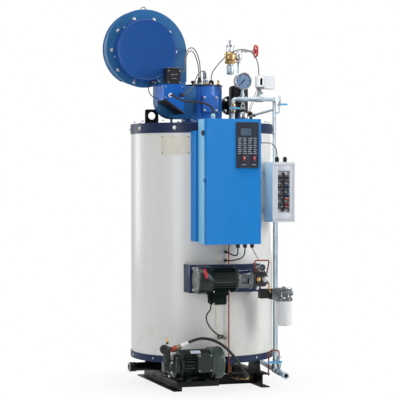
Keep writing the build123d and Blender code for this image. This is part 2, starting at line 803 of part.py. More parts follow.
# Fittings on the drum lid: knob, spark plug caps, flame eye, solenoid and vent cock
with BuildPart() as burner_fittings:
    turned(
        (-72, -60, LID_TOP),
        (0, 0, 1),
        [(9, 0), (9, 8), (14, 10), (15, 15), (14, 20), (8, 23)],
    )
    hexagon((SPARK_PLUG_X, LID_FITTINGS_Y, LID_TOP), (SPARK_PLUG_X, LID_FITTINGS_Y, LID_TOP + 14), 26)
    turned(
        (SPARK_PLUG_X, LID_FITTINGS_Y, LID_TOP + 14),
        (0, 0, 1),
        [(14, 0), (14, 10), (10, 14), (10, 30)],
    )
    hexagon((FLAME_EYE_X, LID_FITTINGS_Y, LID_TOP), (FLAME_EYE_X, LID_FITTINGS_Y, LID_TOP + 10), 27)
    turned(
        (FLAME_EYE_X, LID_FITTINGS_Y, LID_TOP + 10),
        (0, 0, 1),
        [(10, 0), (10, 10), (14, 12), (14, 20), (8, 26)],
    )
    soft_block(
        (SOLENOID_X - 13, LID_FITTINGS_Y - 13, LID_TOP),
        (SOLENOID_X + 13, LID_FITTINGS_Y + 13, LID_TOP + 24),
        3,
    )
    turned((SOLENOID_X, LID_FITTINGS_Y, LID_TOP + 24), (0, 0, 1), [(9, 0), (9, 6), (6, 10)])
    hexagon((96, -20, LID_TOP), (96, -20, LID_TOP + 12), 15)
    turned((96, -20, LID_TOP + 12), (0, 0, 1), [(5, 0), (5, 10), (8, 12), (8, 18), (3, 22)])

# Steam column with its outlet flange at the back
with BuildPart() as steam_column:
    turned(
        (COLUMN_X, 0, JACKET_TOP),
        (0, 0, 1),
        [
            (COLUMN_RADIUS + DRUM_WELD, 0),
            (COLUMN_RADIUS, DRUM_WELD),
            (COLUMN_RADIUS, COLUMN_TOP - JACKET_TOP - COLUMN_DOME),
            (COLUMN_RADIUS * 0.96, COLUMN_TOP - JACKET_TOP - COLUMN_DOME * 0.6),
            (COLUMN_RADIUS * 0.82, COLUMN_TOP - JACKET_TOP - COLUMN_DOME * 0.25),
            (COLUMN_RADIUS * 0.5, COLUMN_TOP - JACKET_TOP),
        ],
    )
    rod((COLUMN_X, 0, STEAM_OUTLET_Z), (COLUMN_X, STEAM_OUTLET_Y, STEAM_OUTLET_Z), STEAM_OUTLET_RADIUS)
    rod(
        (COLUMN_X, STEAM_OUTLET_Y, STEAM_OUTLET_Z),
        (COLUMN_X, STEAM_OUTLET_Y + STEAM_FLANGE, STEAM_OUTLET_Z),
        STEAM_FLANGE_RADIUS,
    )

with BuildPart() as flue_outlet:
    flue_start = JACKET_RADIUS - JACKET_WALL
    flue_end = JACKET_RADIUS + FLUE_REACH
    rod((0, flue_start, FLUE_Z), (0, flue_end, FLUE_Z), FLUE_RADIUS)
    rod(
        (0, flue_start, FLUE_Z),
        (0, JACKET_RADIUS + FLUE_COLLAR_THICKNESS, FLUE_Z),
        FLUE_RADIUS + FLUE_COLLAR,
    )
    rod((0, 0, FLUE_Z), (0, flue_end, FLUE_Z), FLUE_RADIUS - FLUE_WALL, mode=Mode.SUBTRACT)
    cut_to_jacket(top_band=False)

# Safety valve: riser and side branch, brass body with spring posts, discharge cup
with BuildPart() as safety_valve:
    rod((COLUMN_X, 0, COLUMN_TOP), (COLUMN_X, 0, VALVE_Z - 20), RISER_RADIUS)
    hexagon((COLUMN_X, 0, COLUMN_TOP), (COLUMN_X, 0, COLUMN_TOP + 16), 30)
    turned(
        (COLUMN_X, 0, VALVE_Z),
        (0, 0, 1),
        [
            (RISER_RADIUS, -52),
            (BONNET_RADIUS - 3, -46),
            (BONNET_RADIUS - 3, -32),
            (BONNET_RADIUS, -28),
            (BONNET_RADIUS, 6),
            (BONNET_RADIUS - 6, 12),
            (BONNET_RADIUS - 6, 20),
        ],
    )
    rod((VALVE_X, 0, VALVE_Z - 10), (COLUMN_X, 0, VALVE_Z - 10), BRANCH_RADIUS)

with BuildPart() as safety_valve_body:
    hexagon((VALVE_X, 0, VALVE_Z - 55), (VALVE_X, 0, VALVE_Z - 38), 1.7 * VALVE_RADIUS)
    turned(
        (VALVE_X, 0, VALVE_Z),
        (0, 0, 1),
        [
            (VALVE_RADIUS * 0.7, -38),
            (VALVE_RADIUS * 0.95, -30),
            (VALVE_RADIUS, -20),
            (VALVE_RADIUS, 0),
            (VALVE_RADIUS * 0.78, 10),
            (VALVE_RADIUS * 0.78, 14),
            (VALVE_RADIUS * 0.3, 16),
            (VALVE_RADIUS * 0.3, 44),
            (VALVE_RADIUS * 0.8, 46),
            (VALVE_RADIUS * 0.8, 56),
            (VALVE_RADIUS * 0.26, 58),
            (VALVE_RADIUS * 0.26, 84),
        ],
    )
    for post in (-1, 1):
        rod(
            (VALVE_X + post * VALVE_RADIUS * 0.62, 0, VALVE_Z + 8),
            (VALVE_X + post * VALVE_RADIUS * 0.62, 0, VALVE_Z + 50),
            5,
        )
    rod(
        (VALVE_X, 0, VALVE_Z - 10),
        (COLUMN_X, 0, VALVE_Z - 10),
        BRANCH_RADIUS + CURVED_SEAT,
        mode=Mode.SUBTRACT,
    )

with BuildPart() as safety_valve_outlet:
    turned(
        (VALVE_X, 0, VALVE_Z - 55),
        (0, 0, -1),
        [
            (OUTLET_RADIUS * 0.7, 0),
            (OUTLET_RADIUS * 0.7, 8),
            (OUTLET_RADIUS, 14),
            (OUTLET_RADIUS, OUTLET_LENGTH - 10),
            (OUTLET_RADIUS * 0.8, OUTLET_LENGTH),
        ],
    )
    rod(
        (VALVE_X, 0, VALVE_Z - 55 - OUTLET_LENGTH),
        (VALVE_X, 0, VALVE_Z - 55 - OUTLET_LENGTH / 2),
        OUTLET_RADIUS * 0.6,
        mode=Mode.SUBTRACT,
    )

# Manifold with its tees, gauge stem, switch stem and cock body
gauge_at = on_manifold(GAUGE_X)
switch_at = on_manifold(SWITCH_X)
manifold_end = on_manifold(UPPER_PIPE[0])
with BuildPart() as gauge_pipework:
    left_x, left_y = MANIFOLD_LEFT
    bent_pipe(
        [(left_x, left_y, JACKET_TOP), (left_x, left_y, MANIFOLD_Z), manifold_end],
        PIPE_BEND,
        PIPE_RADIUS,
    )
    for tee in (GAUGE_X, SWITCH_X):
        rod(on_manifold(tee - 24), on_manifold(tee + 24), PIPE_RADIUS + SLEEVE)
    hexagon((left_x, left_y, JACKET_TOP), (left_x, left_y, JACKET_TOP + 22), 2 * PIPE_RADIUS + 10)
    rod(gauge_at, (*gauge_at[:2], GAUGE_Z - GAUGE_RADIUS + 4), GAUGE_STEM_RADIUS)
    hexagon((*gauge_at[:2], MANIFOLD_Z + 20), (*gauge_at[:2], MANIFOLD_Z + 36), 22)
    rod(switch_at, (*switch_at[:2], SWITCH_BOTTOM), SWITCH_STEM_RADIUS)
    hexagon((*switch_at[:2], MANIFOLD_Z + 22), (*switch_at[:2], MANIFOLD_Z + 38), 24)
    turned(
        (left_x, left_y, COCK_Z - 26),
        (0, 0, 1),
        [(PIPE_RADIUS + SLEEVE, 0), (PIPE_RADIUS + 6, 8), (PIPE_RADIUS + 6, 44), (PIPE_RADIUS + SLEEVE, 52)],
    )
    rod((left_x, left_y - PIPE_RADIUS - 8, COCK_Z), (left_x, left_y, COCK_Z), 9)
    turned(
        (*manifold_end[:2], MANIFOLD_Z - PIPE_RADIUS),
        (0, 0, 1),
        [(PIPE_RADIUS + 3, 0), (PIPE_RADIUS + 3, 16), (PIPE_RADIUS, 24)],
    )

with BuildPart() as pressure_gauge:
    gauge_back = (GAUGE_X, gauge_at[1] + GAUGE_DEPTH / 2, GAUGE_Z)
    turned(
        gauge_back,
        (0, -1, 0),
        [
            (GAUGE_RADIUS - 8, 0),
            (GAUGE_RADIUS - 4, 4),
            (GAUGE_RADIUS - 4, GAUGE_DEPTH - GAUGE_BEZEL - 4),
            (GAUGE_RADIUS, GAUGE_DEPTH - GAUGE_BEZEL),
            (GAUGE_RADIUS, GAUGE_DEPTH - 3),
            (GAUGE_RADIUS - 3, GAUGE_DEPTH),
            (GAUGE_RADIUS - 7, GAUGE_DEPTH),
            (GAUGE_RADIUS - 8, GAUGE_DEPTH - 5),
        ],
    )
    rod(
        gauge_at,
        (*gauge_at[:2], GAUGE_Z - GAUGE_RADIUS + 4),
        GAUGE_STEM_RADIUS + CURVED_SEAT,
        mode=Mode.SUBTRACT,
    )

with BuildPart() as pressure_switch:
    switch_left = SWITCH_X - SWITCH_WIDTH / 2
    switch_right = SWITCH_X + SWITCH_WIDTH / 2
    switch_front = switch_at[1] - SWITCH_DEPTH / 2 - 2
    switch_back = switch_front + SWITCH_DEPTH
    switch_top = SWITCH_BOTTOM + SWITCH_HEIGHT
    soft_block(
        (switch_left, switch_front, SWITCH_BOTTOM + 14),
        (switch_right, switch_back, switch_top),
        10,
    )
    with BuildSketch(Plane.XY.offset(SWITCH_BOTTOM + 14)) as wide:
        with Locations((SWITCH_X, (switch_front + switch_back) / 2)):
            RectangleRounded(SWITCH_WIDTH, SWITCH_DEPTH, 10)
    with BuildSketch(Plane.XY.offset(SWITCH_BOTTOM)) as narrow:
        with Locations((SWITCH_X, (switch_front + switch_back) / 2)):
            RectangleRounded(SWITCH_WIDTH * 0.6, SWITCH_DEPTH * 0.6, 8)
    loft([wide.sketch.face(), narrow.sketch.face()])
    with BuildSketch(Plane.XZ.offset(-switch_front)):
        with Locations((SWITCH_X + 2, SWITCH_BOTTOM + 44)):
            RectangleRounded(14, 40, 4)
    extrude(amount=-3, mode=Mode.SUBTRACT)
    soft_block(
        (switch_right, switch_front + 14, SWITCH_BOTTOM + 4),
        (switch_right + SWITCH_REAR_WIDTH, switch_back + 20, switch_top + 4),
        5,
    )

# Water column, drain header, side branch and drain valve
with BuildPart() as water_column:
    rod((*UPPER_PIPE, REDUCER_Z), (*UPPER_PIPE, MANIFOLD_Z - PIPE_RADIUS - CURVED_SEAT), UPPER_PIPE_RADIUS)
    rod((*LOWER_PIPE, HEADER_Z), (*LOWER_PIPE, REDUCER_Z), LOWER_PIPE_RADIUS)
    turned(
        (*LOWER_PIPE, REDUCER_Z - 30),
        (0, 0, 1),
        [(LOWER_PIPE_RADIUS + SLEEVE, 0), (LOWER_PIPE_RADIUS + SLEEVE, 30), (LOWER_PIPE_RADIUS, 46)],
    )
    rod((*LOWER_PIPE, HEADER_Z), (*LOWER_PIPE, HEADER_Z + 44), LOWER_PIPE_RADIUS + SLEEVE + 2)
    header_tip = (*on_header(HEADER_AHEAD), HEADER_Z)
    rod(header_tip, (*on_header(-HEADER_BEHIND), HEADER_Z), LOWER_PIPE_RADIUS)
    for ahead in (HEADER_AHEAD, DRAIN_VALVE_AHEAD + 26, 30):
        rod((*on_header(ahead), HEADER_Z), (*on_header(ahead - 52), HEADER_Z), LOWER_PIPE_RADIUS + SLEEVE)
    rod(
        header_tip,
        (*on_header(HEADER_AHEAD - HEADER_BORE_DEPTH), HEADER_Z),
        LOWER_PIPE_RADIUS - 3,
        mode=Mode.SUBTRACT,
    )
    drain_at = on_header(DRAIN_VALVE_AHEAD)
    rod((*drain_at, HEADER_Z), (*drain_at, DRAIN_VALVE_LOW), 9)
    hexagon((*drain_at, DRAIN_VALVE_LOW), (*drain_at, DRAIN_VALVE_LOW + 12), 26)
    turned(
        (*drain_at, DRAIN_VALVE_LOW + 12),
        (0, 0, 1),
        [(11, 0), (DRAIN_VALVE_RADIUS, 8), (DRAIN_VALVE_RADIUS, 30), (11, 38)],
    )
    hexagon((*drain_at, DRAIN_VALVE_TOP - 12), (*drain_at, DRAIN_VALVE_TOP), 22)
    side_x = UPPER_PIPE[0] + SIDE_PIPE_REACH
    bent_pipe(
        [
            (*UPPER_PIPE, SIDE_PIPE_LOW),
            (side_x, UPPER_PIPE[1], SIDE_PIPE_LOW),
            (side_x, UPPER_PIPE[1], SIDE_PIPE_TOP),
        ],
        10,
        6,
    )
    rod((side_x, UPPER_PIPE[1] + 11, SIDE_COCK_Z), (side_x, UPPER_PIPE[1] - 11, SIDE_COCK_Z), 9)
    hexagon((side_x, UPPER_PIPE[1], SIDE_COCK_Z + 14), (side_x, UPPER_PIPE[1], SIDE_COCK_Z + 30), 17)

with BuildPart() as blowdown_lever:
    lever_back = drain_at[1] - DRAIN_VALVE_RADIUS - LEVER_REACH
    rod(
        (drain_at[0], drain_at[1] - DRAIN_VALVE_RADIUS - LEVER_CLEAR, LEVER_Z),
        (drain_at[0], lever_back - LEVER_SHEET - 4, LEVER_Z),
        7,
    )
    with BuildSketch(Plane.XZ.offset(-lever_back)):
        with Locations((drain_at[0] - LEVER_LENGTH / 3, LEVER_Z)):
            Rectangle(LEVER_LENGTH * 2 / 3, 10)
        with Locations((drain_at[0] - LEVER_LENGTH * 0.65, LEVER_Z)):
            SlotOverall(LEVER_LENGTH * 0.7, 15)
    extrude(amount=LEVER_SHEET)

with BuildPart() as drain_line:
    drain_x = drain_at[0] - DRAIN_LINE_REACH
    bent_pipe(
        [
            (*drain_at, DRAIN_VALVE_TOP),
            (*drain_at, DRAIN_LOOP_TOP),
            (drain_x + 8, drain_at[1], DRAIN_LOOP_TOP),
            (drain_x, drain_at[1], DRAIN_VALVE_TOP - 20),
            (drain_x, drain_at[1], DRAIN_LINE_END),
        ],
        14,
        DRAIN_LINE_RADIUS,
    )

with BuildPart() as gauge_cock_handle:
    stem_y = left_y - PIPE_RADIUS - 8 - LEVER_CLEAR
    rod((left_x, stem_y, COCK_Z), (left_x, stem_y - 12, COCK_Z), 6)
    with BuildSketch(Plane.XZ.offset(-stem_y + 12)):
        with Locations((left_x, COCK_Z)):
            Circle(9)
        for wing in (-1, 1):
            with Locations((left_x + wing * COCK_WING * 0.6, COCK_Z)):
                SlotOverall(COCK_WING * 0.8, 12)
        with Locations((left_x, COCK_Z)):
            Rectangle(COCK_WING, 6)
    extrude(amount=LEVER_SHEET)

with BuildPart() as drain_cock_handle:
    side_stem_y = UPPER_PIPE[1] - 11 - LEVER_CLEAR
    rod((side_x, side_stem_y, SIDE_COCK_Z), (side_x, side_stem_y - 6, SIDE_COCK_Z), 5)
    with BuildSketch(Plane.XZ.offset(-side_stem_y + 6)):
        with Locations((side_x + 19, SIDE_COCK_Z)):
            SlotOverall(50, 11)
    extrude(amount=LEVER_SHEET)

# Control cabinet: standoff, body, door and display panel
with BuildPart() as cabinet_standoff:
    block((STANDOFF_LEFT, CABINET_BACK, STANDOFF_BOTTOM), (CABINET_RIGHT, STANDOFF_BACK, STANDOFF_TOP))
    block(
        (STANDOFF_LEFT + CABINET_SHEET, CABINET_BACK, STANDOFF_BOTTOM + CABINET_SHEET),
        (CABINET_RIGHT - CABINET_SHEET, STANDOFF_BACK, STANDOFF_TOP - CABINET_SHEET),
        mode=Mode.SUBTRACT,
    )
    cut_to_jacket()

with BuildPart() as cabinet_body:
    soft_block(
        (CABINET_LEFT, CABINET_MOUTH, CABINET_BOTTOM),
        (CABINET_RIGHT, CABINET_BACK, CABINET_TOP),
        CABINET_CORNER,
    )
    block(
        (CABINET_LEFT + CABINET_SHEET, CABINET_MOUTH + CABINET_SHEET, CABINET_BOTTOM + CABINET_SHEET),
        (CABINET_RIGHT - CABINET_SHEET, CABINET_BACK - CABINET_SHEET, CABINET_TOP - CABINET_SHEET),
        mode=Mode.SUBTRACT,
    )
    block(
        (CABINET_LEFT + CABINET_RETURN, CABINET_MOUTH, CABINET_BOTTOM + CABINET_RETURN),
        (CABINET_RIGHT - CABINET_RETURN, CABINET_MOUTH + CABINET_SHEET, CABINET_TOP - CABINET_RETURN),
        mode=Mode.SUBTRACT,
    )
    for height in HINGE_HEIGHTS:
        block((CABINET_RIGHT, CABINET_MOUTH + 2, height), (HINGE_X, CABINET_MOUTH + 24, height + KNUCKLE))
        block((HINGE_X - 3, HINGE_Y, height), (HINGE_X + 3, CABINET_MOUTH + 24, height + KNUCKLE))
        rod((HINGE_X, HINGE_Y, height), (HINGE_X, HINGE_Y, height + KNUCKLE), HINGE_RADIUS)
        rod((HINGE_X, HINGE_Y, height), (HINGE_X, HINGE_Y, height + 2 * KNUCKLE), HINGE_PIN_RADIUS)

with BuildPart() as cabinet_door:
    soft_block(
        (CABINET_LEFT, DOOR_FRONT, CABINET_BOTTOM),
        (CABINET_RIGHT, DOOR_BACK + 5, CABINET_TOP),
        CABINET_CORNER,
    )
    block(
        (CABINET_LEFT, DOOR_BACK, CABINET_BOTTOM),
        (CABINET_RIGHT, DOOR_BACK + 5, CABINET_TOP),
        mode=Mode.SUBTRACT,
    )
    block(
        (CABINET_LEFT + CABINET_SHEET, DOOR_FRONT + CABINET_SHEET, CABINET_BOTTOM + CABINET_SHEET),
        (CABINET_RIGHT - CABINET_SHEET, DOOR_BACK, CABINET_TOP - CABINET_SHEET),
        mode=Mode.SUBTRACT,
    )
    for height in HINGE_HEIGHTS:
        low = height + KNUCKLE + LEVER_CLEAR
        high = height + 2 * KNUCKLE
        block((CABINET_RIGHT - CABINET_SHEET, HINGE_Y - 12, low), (HINGE_X, HINGE_Y - 3, high))
        rod((HINGE_X, HINGE_Y, low), (HINGE_X, HINGE_Y, high), HINGE_RADIUS)
        rod(
            (HINGE_X, HINGE_Y, low - 1),
            (HINGE_X, HINGE_Y, high + 1),
            HINGE_PIN_RADIUS + HINGE_CLEARANCE,
            mode=Mode.SUBTRACT,
        )
    lock_y = DOOR_FRONT + DOOR_DEPTH / 2 + 1
    turned(
        (CABINET_LEFT, lock_y, LOCK_Z),
        (-1, 0, 0),
        [(LOCK_RADIUS, 0), (LOCK_RADIUS, 7), (LOCK_RADIUS - 2, 10)],
    )

with BuildPart() as display_panel:
    with BuildSketch(Plane.XZ.offset(-DOOR_FRONT)):
        with Locations(((DISPLAY_LEFT + DISPLAY_RIGHT) / 2, (DISPLAY_BOTTOM + DISPLAY_TOP) / 2)):
            RectangleRounded(DISPLAY_RIGHT - DISPLAY_LEFT, DISPLAY_TOP - DISPLAY_BOTTOM, 4)
        with Locations(SCREEN_PLACE):
            Rectangle(*SCREEN_SIZE, mode=Mode.SUBTRACT)
    extrude(amount=DISPLAY_THICKNESS)
    with BuildSketch(Plane.XZ.offset(-DOOR_FRONT)):
        with Locations(SCREEN_PLACE):
            Rectangle(*SCREEN_SIZE)
    extrude(amount=DISPLAY_THICKNESS / 2)
    with BuildSketch(Plane.XZ.offset(-DOOR_FRONT + DISPLAY_THICKNESS)):
        with Locations(*ROCKER_PLACES):
            RectangleRounded(*ROCKER_SIZE, 2)
    extrude(amount=3)

# Junction box: shell, recessed window and the terminal rows behind it
with BuildPart() as junction_box:
    soft_block((BOX_LEFT, BOX_FRONT, BOX_BOTTOM), (BOX_RIGHT, BOX_BACK, BOX_TOP), BOX_CORNER)
    block(
        (BOX_LEFT + WINDOW_SIDE, BOX_FRONT, BOX_BOTTOM + WINDOW_END),
        (BOX_RIGHT - WINDOW_SIDE, BOX_FRONT + WINDOW_DEPTH, BOX_TOP - WINDOW_END),
        mode=Mode.SUBTRACT,
    )
    box_middle = (BOX_LEFT + BOX_RIGHT) / 2
    terminal_face = BOX_FRONT + WINDOW_DEPTH
    for row_z in TERMINAL_HEIGHTS:
        for column in (-1, 1):
            left = box_middle + column * (BAR_WIDTH + TERMINAL_SIZE[0]) / 2 - TERMINAL_SIZE[0] / 2
            low = row_z - TERMINAL_SIZE[1] / 2
            block(
                (left, terminal_face - TERMINAL_THICKNESS, low),
                (left + TERMINAL_SIZE[0], terminal_face, low + TERMINAL_SIZE[1]),
            )
    with BuildSketch(Plane.XZ.offset(-terminal_face)):
        with BuildLine():
            Polyline(
                (box_middle - BAR_WIDTH / 2, BAR_ENDS[0] + BAR_POINT),
                (box_middle, BAR_ENDS[0]),
                (box_middle + BAR_WIDTH / 2, BAR_ENDS[0] + BAR_POINT),
                (box_middle + BAR_WIDTH / 2, BAR_ENDS[1] - BAR_POINT),
                (box_middle, BAR_ENDS[1]),
                (box_middle - BAR_WIDTH / 2, BAR_ENDS[1] - BAR_POINT),
                close=True,
            )
        make_face()
    extrude(amount=BAR_THICKNESS)
    for low in (BOX_BOTTOM + 50, BOX_TOP - 80):
        block((BOX_LEFT + 4, BOX_BACK, low), (BOX_LEFT + 30, BOX_BACK + 42, low + 30))
    cut_to_jacket(top_band=False)

# Fuel pump set: folded bracket plate, motor, bell housing, pump and filter
with BuildPart() as fuel_plate:
    block((PLATE_LEFT, PLATE_FRONT, PLATE_BOTTOM), (PLATE_RIGHT, PLATE_BACK, PLATE_TOP))
    block(
        (PLATE_LEFT + PLATE_SHEET, PLATE_FRONT + PLATE_SHEET, PLATE_BOTTOM),
        (PLATE_RIGHT - PLATE_SHEET, PLATE_BACK, PLATE_TOP),
        mode=Mode.SUBTRACT,
    )
    for low in (PLATE_BOTTOM, PLATE_TOP - PLATE_SHEET):
        block(
            (PLATE_LEFT + PLATE_SHEET, PLATE_FRONT + PLATE_SHEET, low),
            (PLATE_RIGHT - PLATE_SHEET, PLATE_FRONT + PLATE_SHEET + 14, low + PLATE_SHEET),
        )
    cut_to_jacket(top_band=False)

with BuildPart() as fuel_motor:
    cover_right = FUEL_MOTOR_LEFT + FUEL_COVER_LENGTH
    finned_body((cover_right, FUEL_Y, FUEL_Z), (FUEL_MOTOR_RIGHT, FUEL_Y, FUEL_Z), FUEL_MOTOR_RADIUS, 26)
    fan_cover((cover_right, FUEL_Y, FUEL_Z), (FUEL_MOTOR_LEFT, FUEL_Y, FUEL_Z), FUEL_COVER_RADIUS)
    for foot_x in (-110, -45):
        block((foot_x, FUEL_Y + 20, FUEL_Z - 60), (foot_x + 25, PLATE_FRONT, FUEL_Z + 60))
    soft_block(
        (FUEL_BOX[0] - 8, FUEL_Y - FUEL_BOX_HALF - 6, FUEL_BOX_BOTTOM + 52),
        (FUEL_BOX[1] + 8, FUEL_Y + FUEL_BOX_HALF + 6, FUEL_Z - FUEL_MOTOR_RADIUS + 24),
        6,
    )
    soft_block(
        (FUEL_BOX[0], FUEL_Y - FUEL_BOX_HALF, FUEL_BOX_BOTTOM + 6),
        (FUEL_BOX[1], FUEL_Y + FUEL_BOX_HALF, FUEL_BOX_BOTTOM + 52),
        6,
    )
    soft_block(
        (FUEL_BOX[0] + 24, FUEL_Y - FUEL_BOX_HALF + 4, FUEL_BOX_BOTTOM),
        (FUEL_BOX[1] - 4, FUEL_Y + FUEL_BOX_HALF - 4, FUEL_BOX_BOTTOM + 6),
        6,
    )
    turned(
        (FUEL_GLAND_X, FUEL_Y, FUEL_BOX_BOTTOM + 6),
        (0, 0, -1),
        [(10, 0), (10, 4), (7, 6)],
    )

with BuildPart() as fuel_coupling:
    pump_side = FUEL_PUMP_LEFT - 12
    turned(
        (FUEL_MOTOR_RIGHT, FUEL_Y, FUEL_Z),
        (1, 0, 0),
        [
            (COUPLING_RADIUS + 12, 0),
            (COUPLING_RADIUS + 12, 8),
            (COUPLING_RADIUS, 14),
            (COUPLING_RADIUS, pump_side - FUEL_MOTOR_RIGHT),
            (COUPLING_RADIUS + 4, pump_side - FUEL_MOTOR_RIGHT),
            (COUPLING_RADIUS + 4, FUEL_PUMP_LEFT - FUEL_MOTOR_RIGHT),
        ],
    )
    block(
        (FUEL_MOTOR_RIGHT + 22, FUEL_Y - COUPLING_RADIUS - 2, FUEL_Z - 26),
        (pump_side - 10, FUEL_Y - COUPLING_RADIUS * 0.45, FUEL_Z + 6),
        mode=Mode.SUBTRACT,
    )

with BuildPart() as fuel_pump:
    turned(
        (FUEL_PUMP_LEFT, FUEL_Y, FUEL_Z),
        (1, 0, 0),
        [
            (FUEL_PUMP_FLANGE, 0),
            (FUEL_PUMP_FLANGE, 14),
            (FUEL_PUMP_RADIUS, 18),
            (FUEL_PUMP_RADIUS, 62),
            (FUEL_PUMP_RADIUS + 3, 64),
            (FUEL_PUMP_RADIUS + 3, 84),
            (FUEL_PUMP_RADIUS - 4, 92),
            (FUEL_PUMP_RADIUS * 0.45, 94),
            (FUEL_PUMP_RADIUS * 0.4, FUEL_PUMP_RIGHT - FUEL_PUMP_LEFT),
        ],
    )
    block(
        (FUEL_PUMP_LEFT + 22, FUEL_Y - FUEL_PUMP_RADIUS - 8, FUEL_Z - 24),
        (FUEL_PUMP_LEFT + 60, FUEL_Y, FUEL_Z + 18),
    )

with BuildPart() as fuel_lines:
    copper_y = -(JACKET_RADIUS + COPPER_CLEAR)
    rod((COPPER_X, copper_y, COPPER_BOTTOM), (COPPER_X, copper_y, STANDOFF_BOTTOM), FUEL_LINE_RADIUS)
    bent_pipe(
        [
            (FUEL_OUT_X, FUEL_Y, FUEL_Z + 42),
            (FUEL_OUT_X, FUEL_Y, FUEL_Z + 102),
            (PLATE_RIGHT + 18, FUEL_Y, FUEL_Z + 102),
            (PLATE_RIGHT + 18, FILTER_Y - 20, FUEL_Z),
            (PLATE_RIGHT + 43, FILTER_Y, HEAD_TOP + 20),
        ],
        12,
        FUEL_LINE_RADIUS,
    )
    rod(
        (BOTTOM_GLANDS[2], GLAND_Y, CABINET_BOTTOM - GLAND_SHORT),
        (FUEL_OUT_X + CAPILLARY_OUT, FUEL_Y, FUEL_Z + 102),
        CAPILLARY_RADIUS,
    )

with BuildPart() as fuel_fittings:
    gauge_z = FUEL_Z + 64
    rod((FUEL_GAUGE_X, FUEL_Y, FUEL_Z + 30), (FUEL_GAUGE_X, FUEL_Y, gauge_z + 6), 8)
    rod((FUEL_GAUGE_X, FUEL_Y, gauge_z - 2), (FUEL_GAUGE_X, FUEL_Y - 36, gauge_z - 2), 5)
    turned(
        (FUEL_GAUGE_X, FUEL_Y - 34, gauge_z),
        (0, -1, 0),
        [
            (FUEL_GAUGE_RADIUS - 3, 0),
            (FUEL_GAUGE_RADIUS - 3, 12),
            (FUEL_GAUGE_RADIUS, 14),
            (FUEL_GAUGE_RADIUS, 22),
            (FUEL_GAUGE_RADIUS - 3, 22),
            (FUEL_GAUGE_RADIUS - 4, 19),
        ],
    )
    hexagon((FUEL_OUT_X, FUEL_Y, FUEL_Z + 30), (FUEL_OUT_X, FUEL_Y, FUEL_Z + 42), 17)
    rod(
        (FUEL_PUMP_LEFT, FUEL_Y, FUEL_Z),
        (FUEL_PUMP_RIGHT, FUEL_Y, FUEL_Z),
        FUEL_PUMP_RADIUS + CURVED_SEAT,
        mode=Mode.SUBTRACT,
    )

with BuildPart() as filter_head:
    arm_high = HEAD_TOP - FILTER_ARM_DROP
    arm_foot = (PLATE_RIGHT, PLATE_FRONT, arm_high - FILTER_ARM_HEIGHT)
    block(arm_foot, (PLATE_RIGHT + FILTER_ARM_SHEET, PLATE_FRONT + FILTER_ARM_DEPTH, arm_high))
    block(arm_foot, (FILTER_X - FILTER_ARM_END, PLATE_FRONT + FILTER_ARM_SHEET, arm_high))
    block(
        (FILTER_X - FILTER_PORT_START, FILTER_Y - FILTER_PORT_HALF, HEAD_TOP - FILTER_PORT_HEIGHT),
        (FILTER_X - FILTER_PORT_END, FILTER_Y + FILTER_PORT_HALF, HEAD_TOP),
    )
    turned(
        (FILTER_X, FILTER_Y, CANISTER_TOP),
        (0, 0, 1),
        [
            (HEAD_RADIUS, 0),
            (HEAD_RADIUS, 14),
            (HEAD_RADIUS - 8, 22),
            (HEAD_RADIUS - 8, HEAD_TOP - CANISTER_TOP - 14),
            (HEAD_RADIUS - 2, HEAD_TOP - CANISTER_TOP - 8),
            (HEAD_RADIUS - 2, HEAD_TOP - CANISTER_TOP),
        ],
    )
    side_z = HEAD_TOP - FILTER_SIDE_DROP
    rod((FILTER_X, FILTER_Y, side_z), (FILTER_X + HEAD_RADIUS + 2, FILTER_Y, side_z), FILTER_SIDE_PORT)

with BuildPart() as filter_canister:
    tall = CANISTER_TOP - CANISTER_BOTTOM
    turned(
        (FILTER_X, FILTER_Y, CANISTER_BOTTOM),
        (0, 0, 1),
        [
            (CANISTER_RADIUS - 16, 0),
            (CANISTER_RADIUS - 6, 3),
            (CANISTER_RADIUS - 1, 10),
            (CANISTER_RADIUS - 1, tall - 16),
            (CANISTER_RADIUS, tall - 14),
            (CANISTER_RADIUS, tall - 2),
            (CANISTER_RADIUS - 4, tall),
        ],
    )

# Feed water pump: base plate with folded lips, finned motor, scroll casing
with BuildPart() as feed_base:
    base_front = FEED_Y - FEED_BASE_AHEAD
    base_back = -(SKID_HALF_LENGTH - FEED_BASE_OVERLAP)
    block(
        (FEED_BASE_LEFT, base_front, FEED_BASE_Z),
        (FEED_BASE_RIGHT, base_back, FEED_BASE_Z + FEED_BASE_SHEET),
    )
    block(
        (FEED_BASE_LEFT, base_front, FEED_BASE_Z - FEED_BASE_LIP),
        (FEED_BASE_RIGHT, base_front + FEED_BASE_SHEET / 2, FEED_BASE_Z),
    )

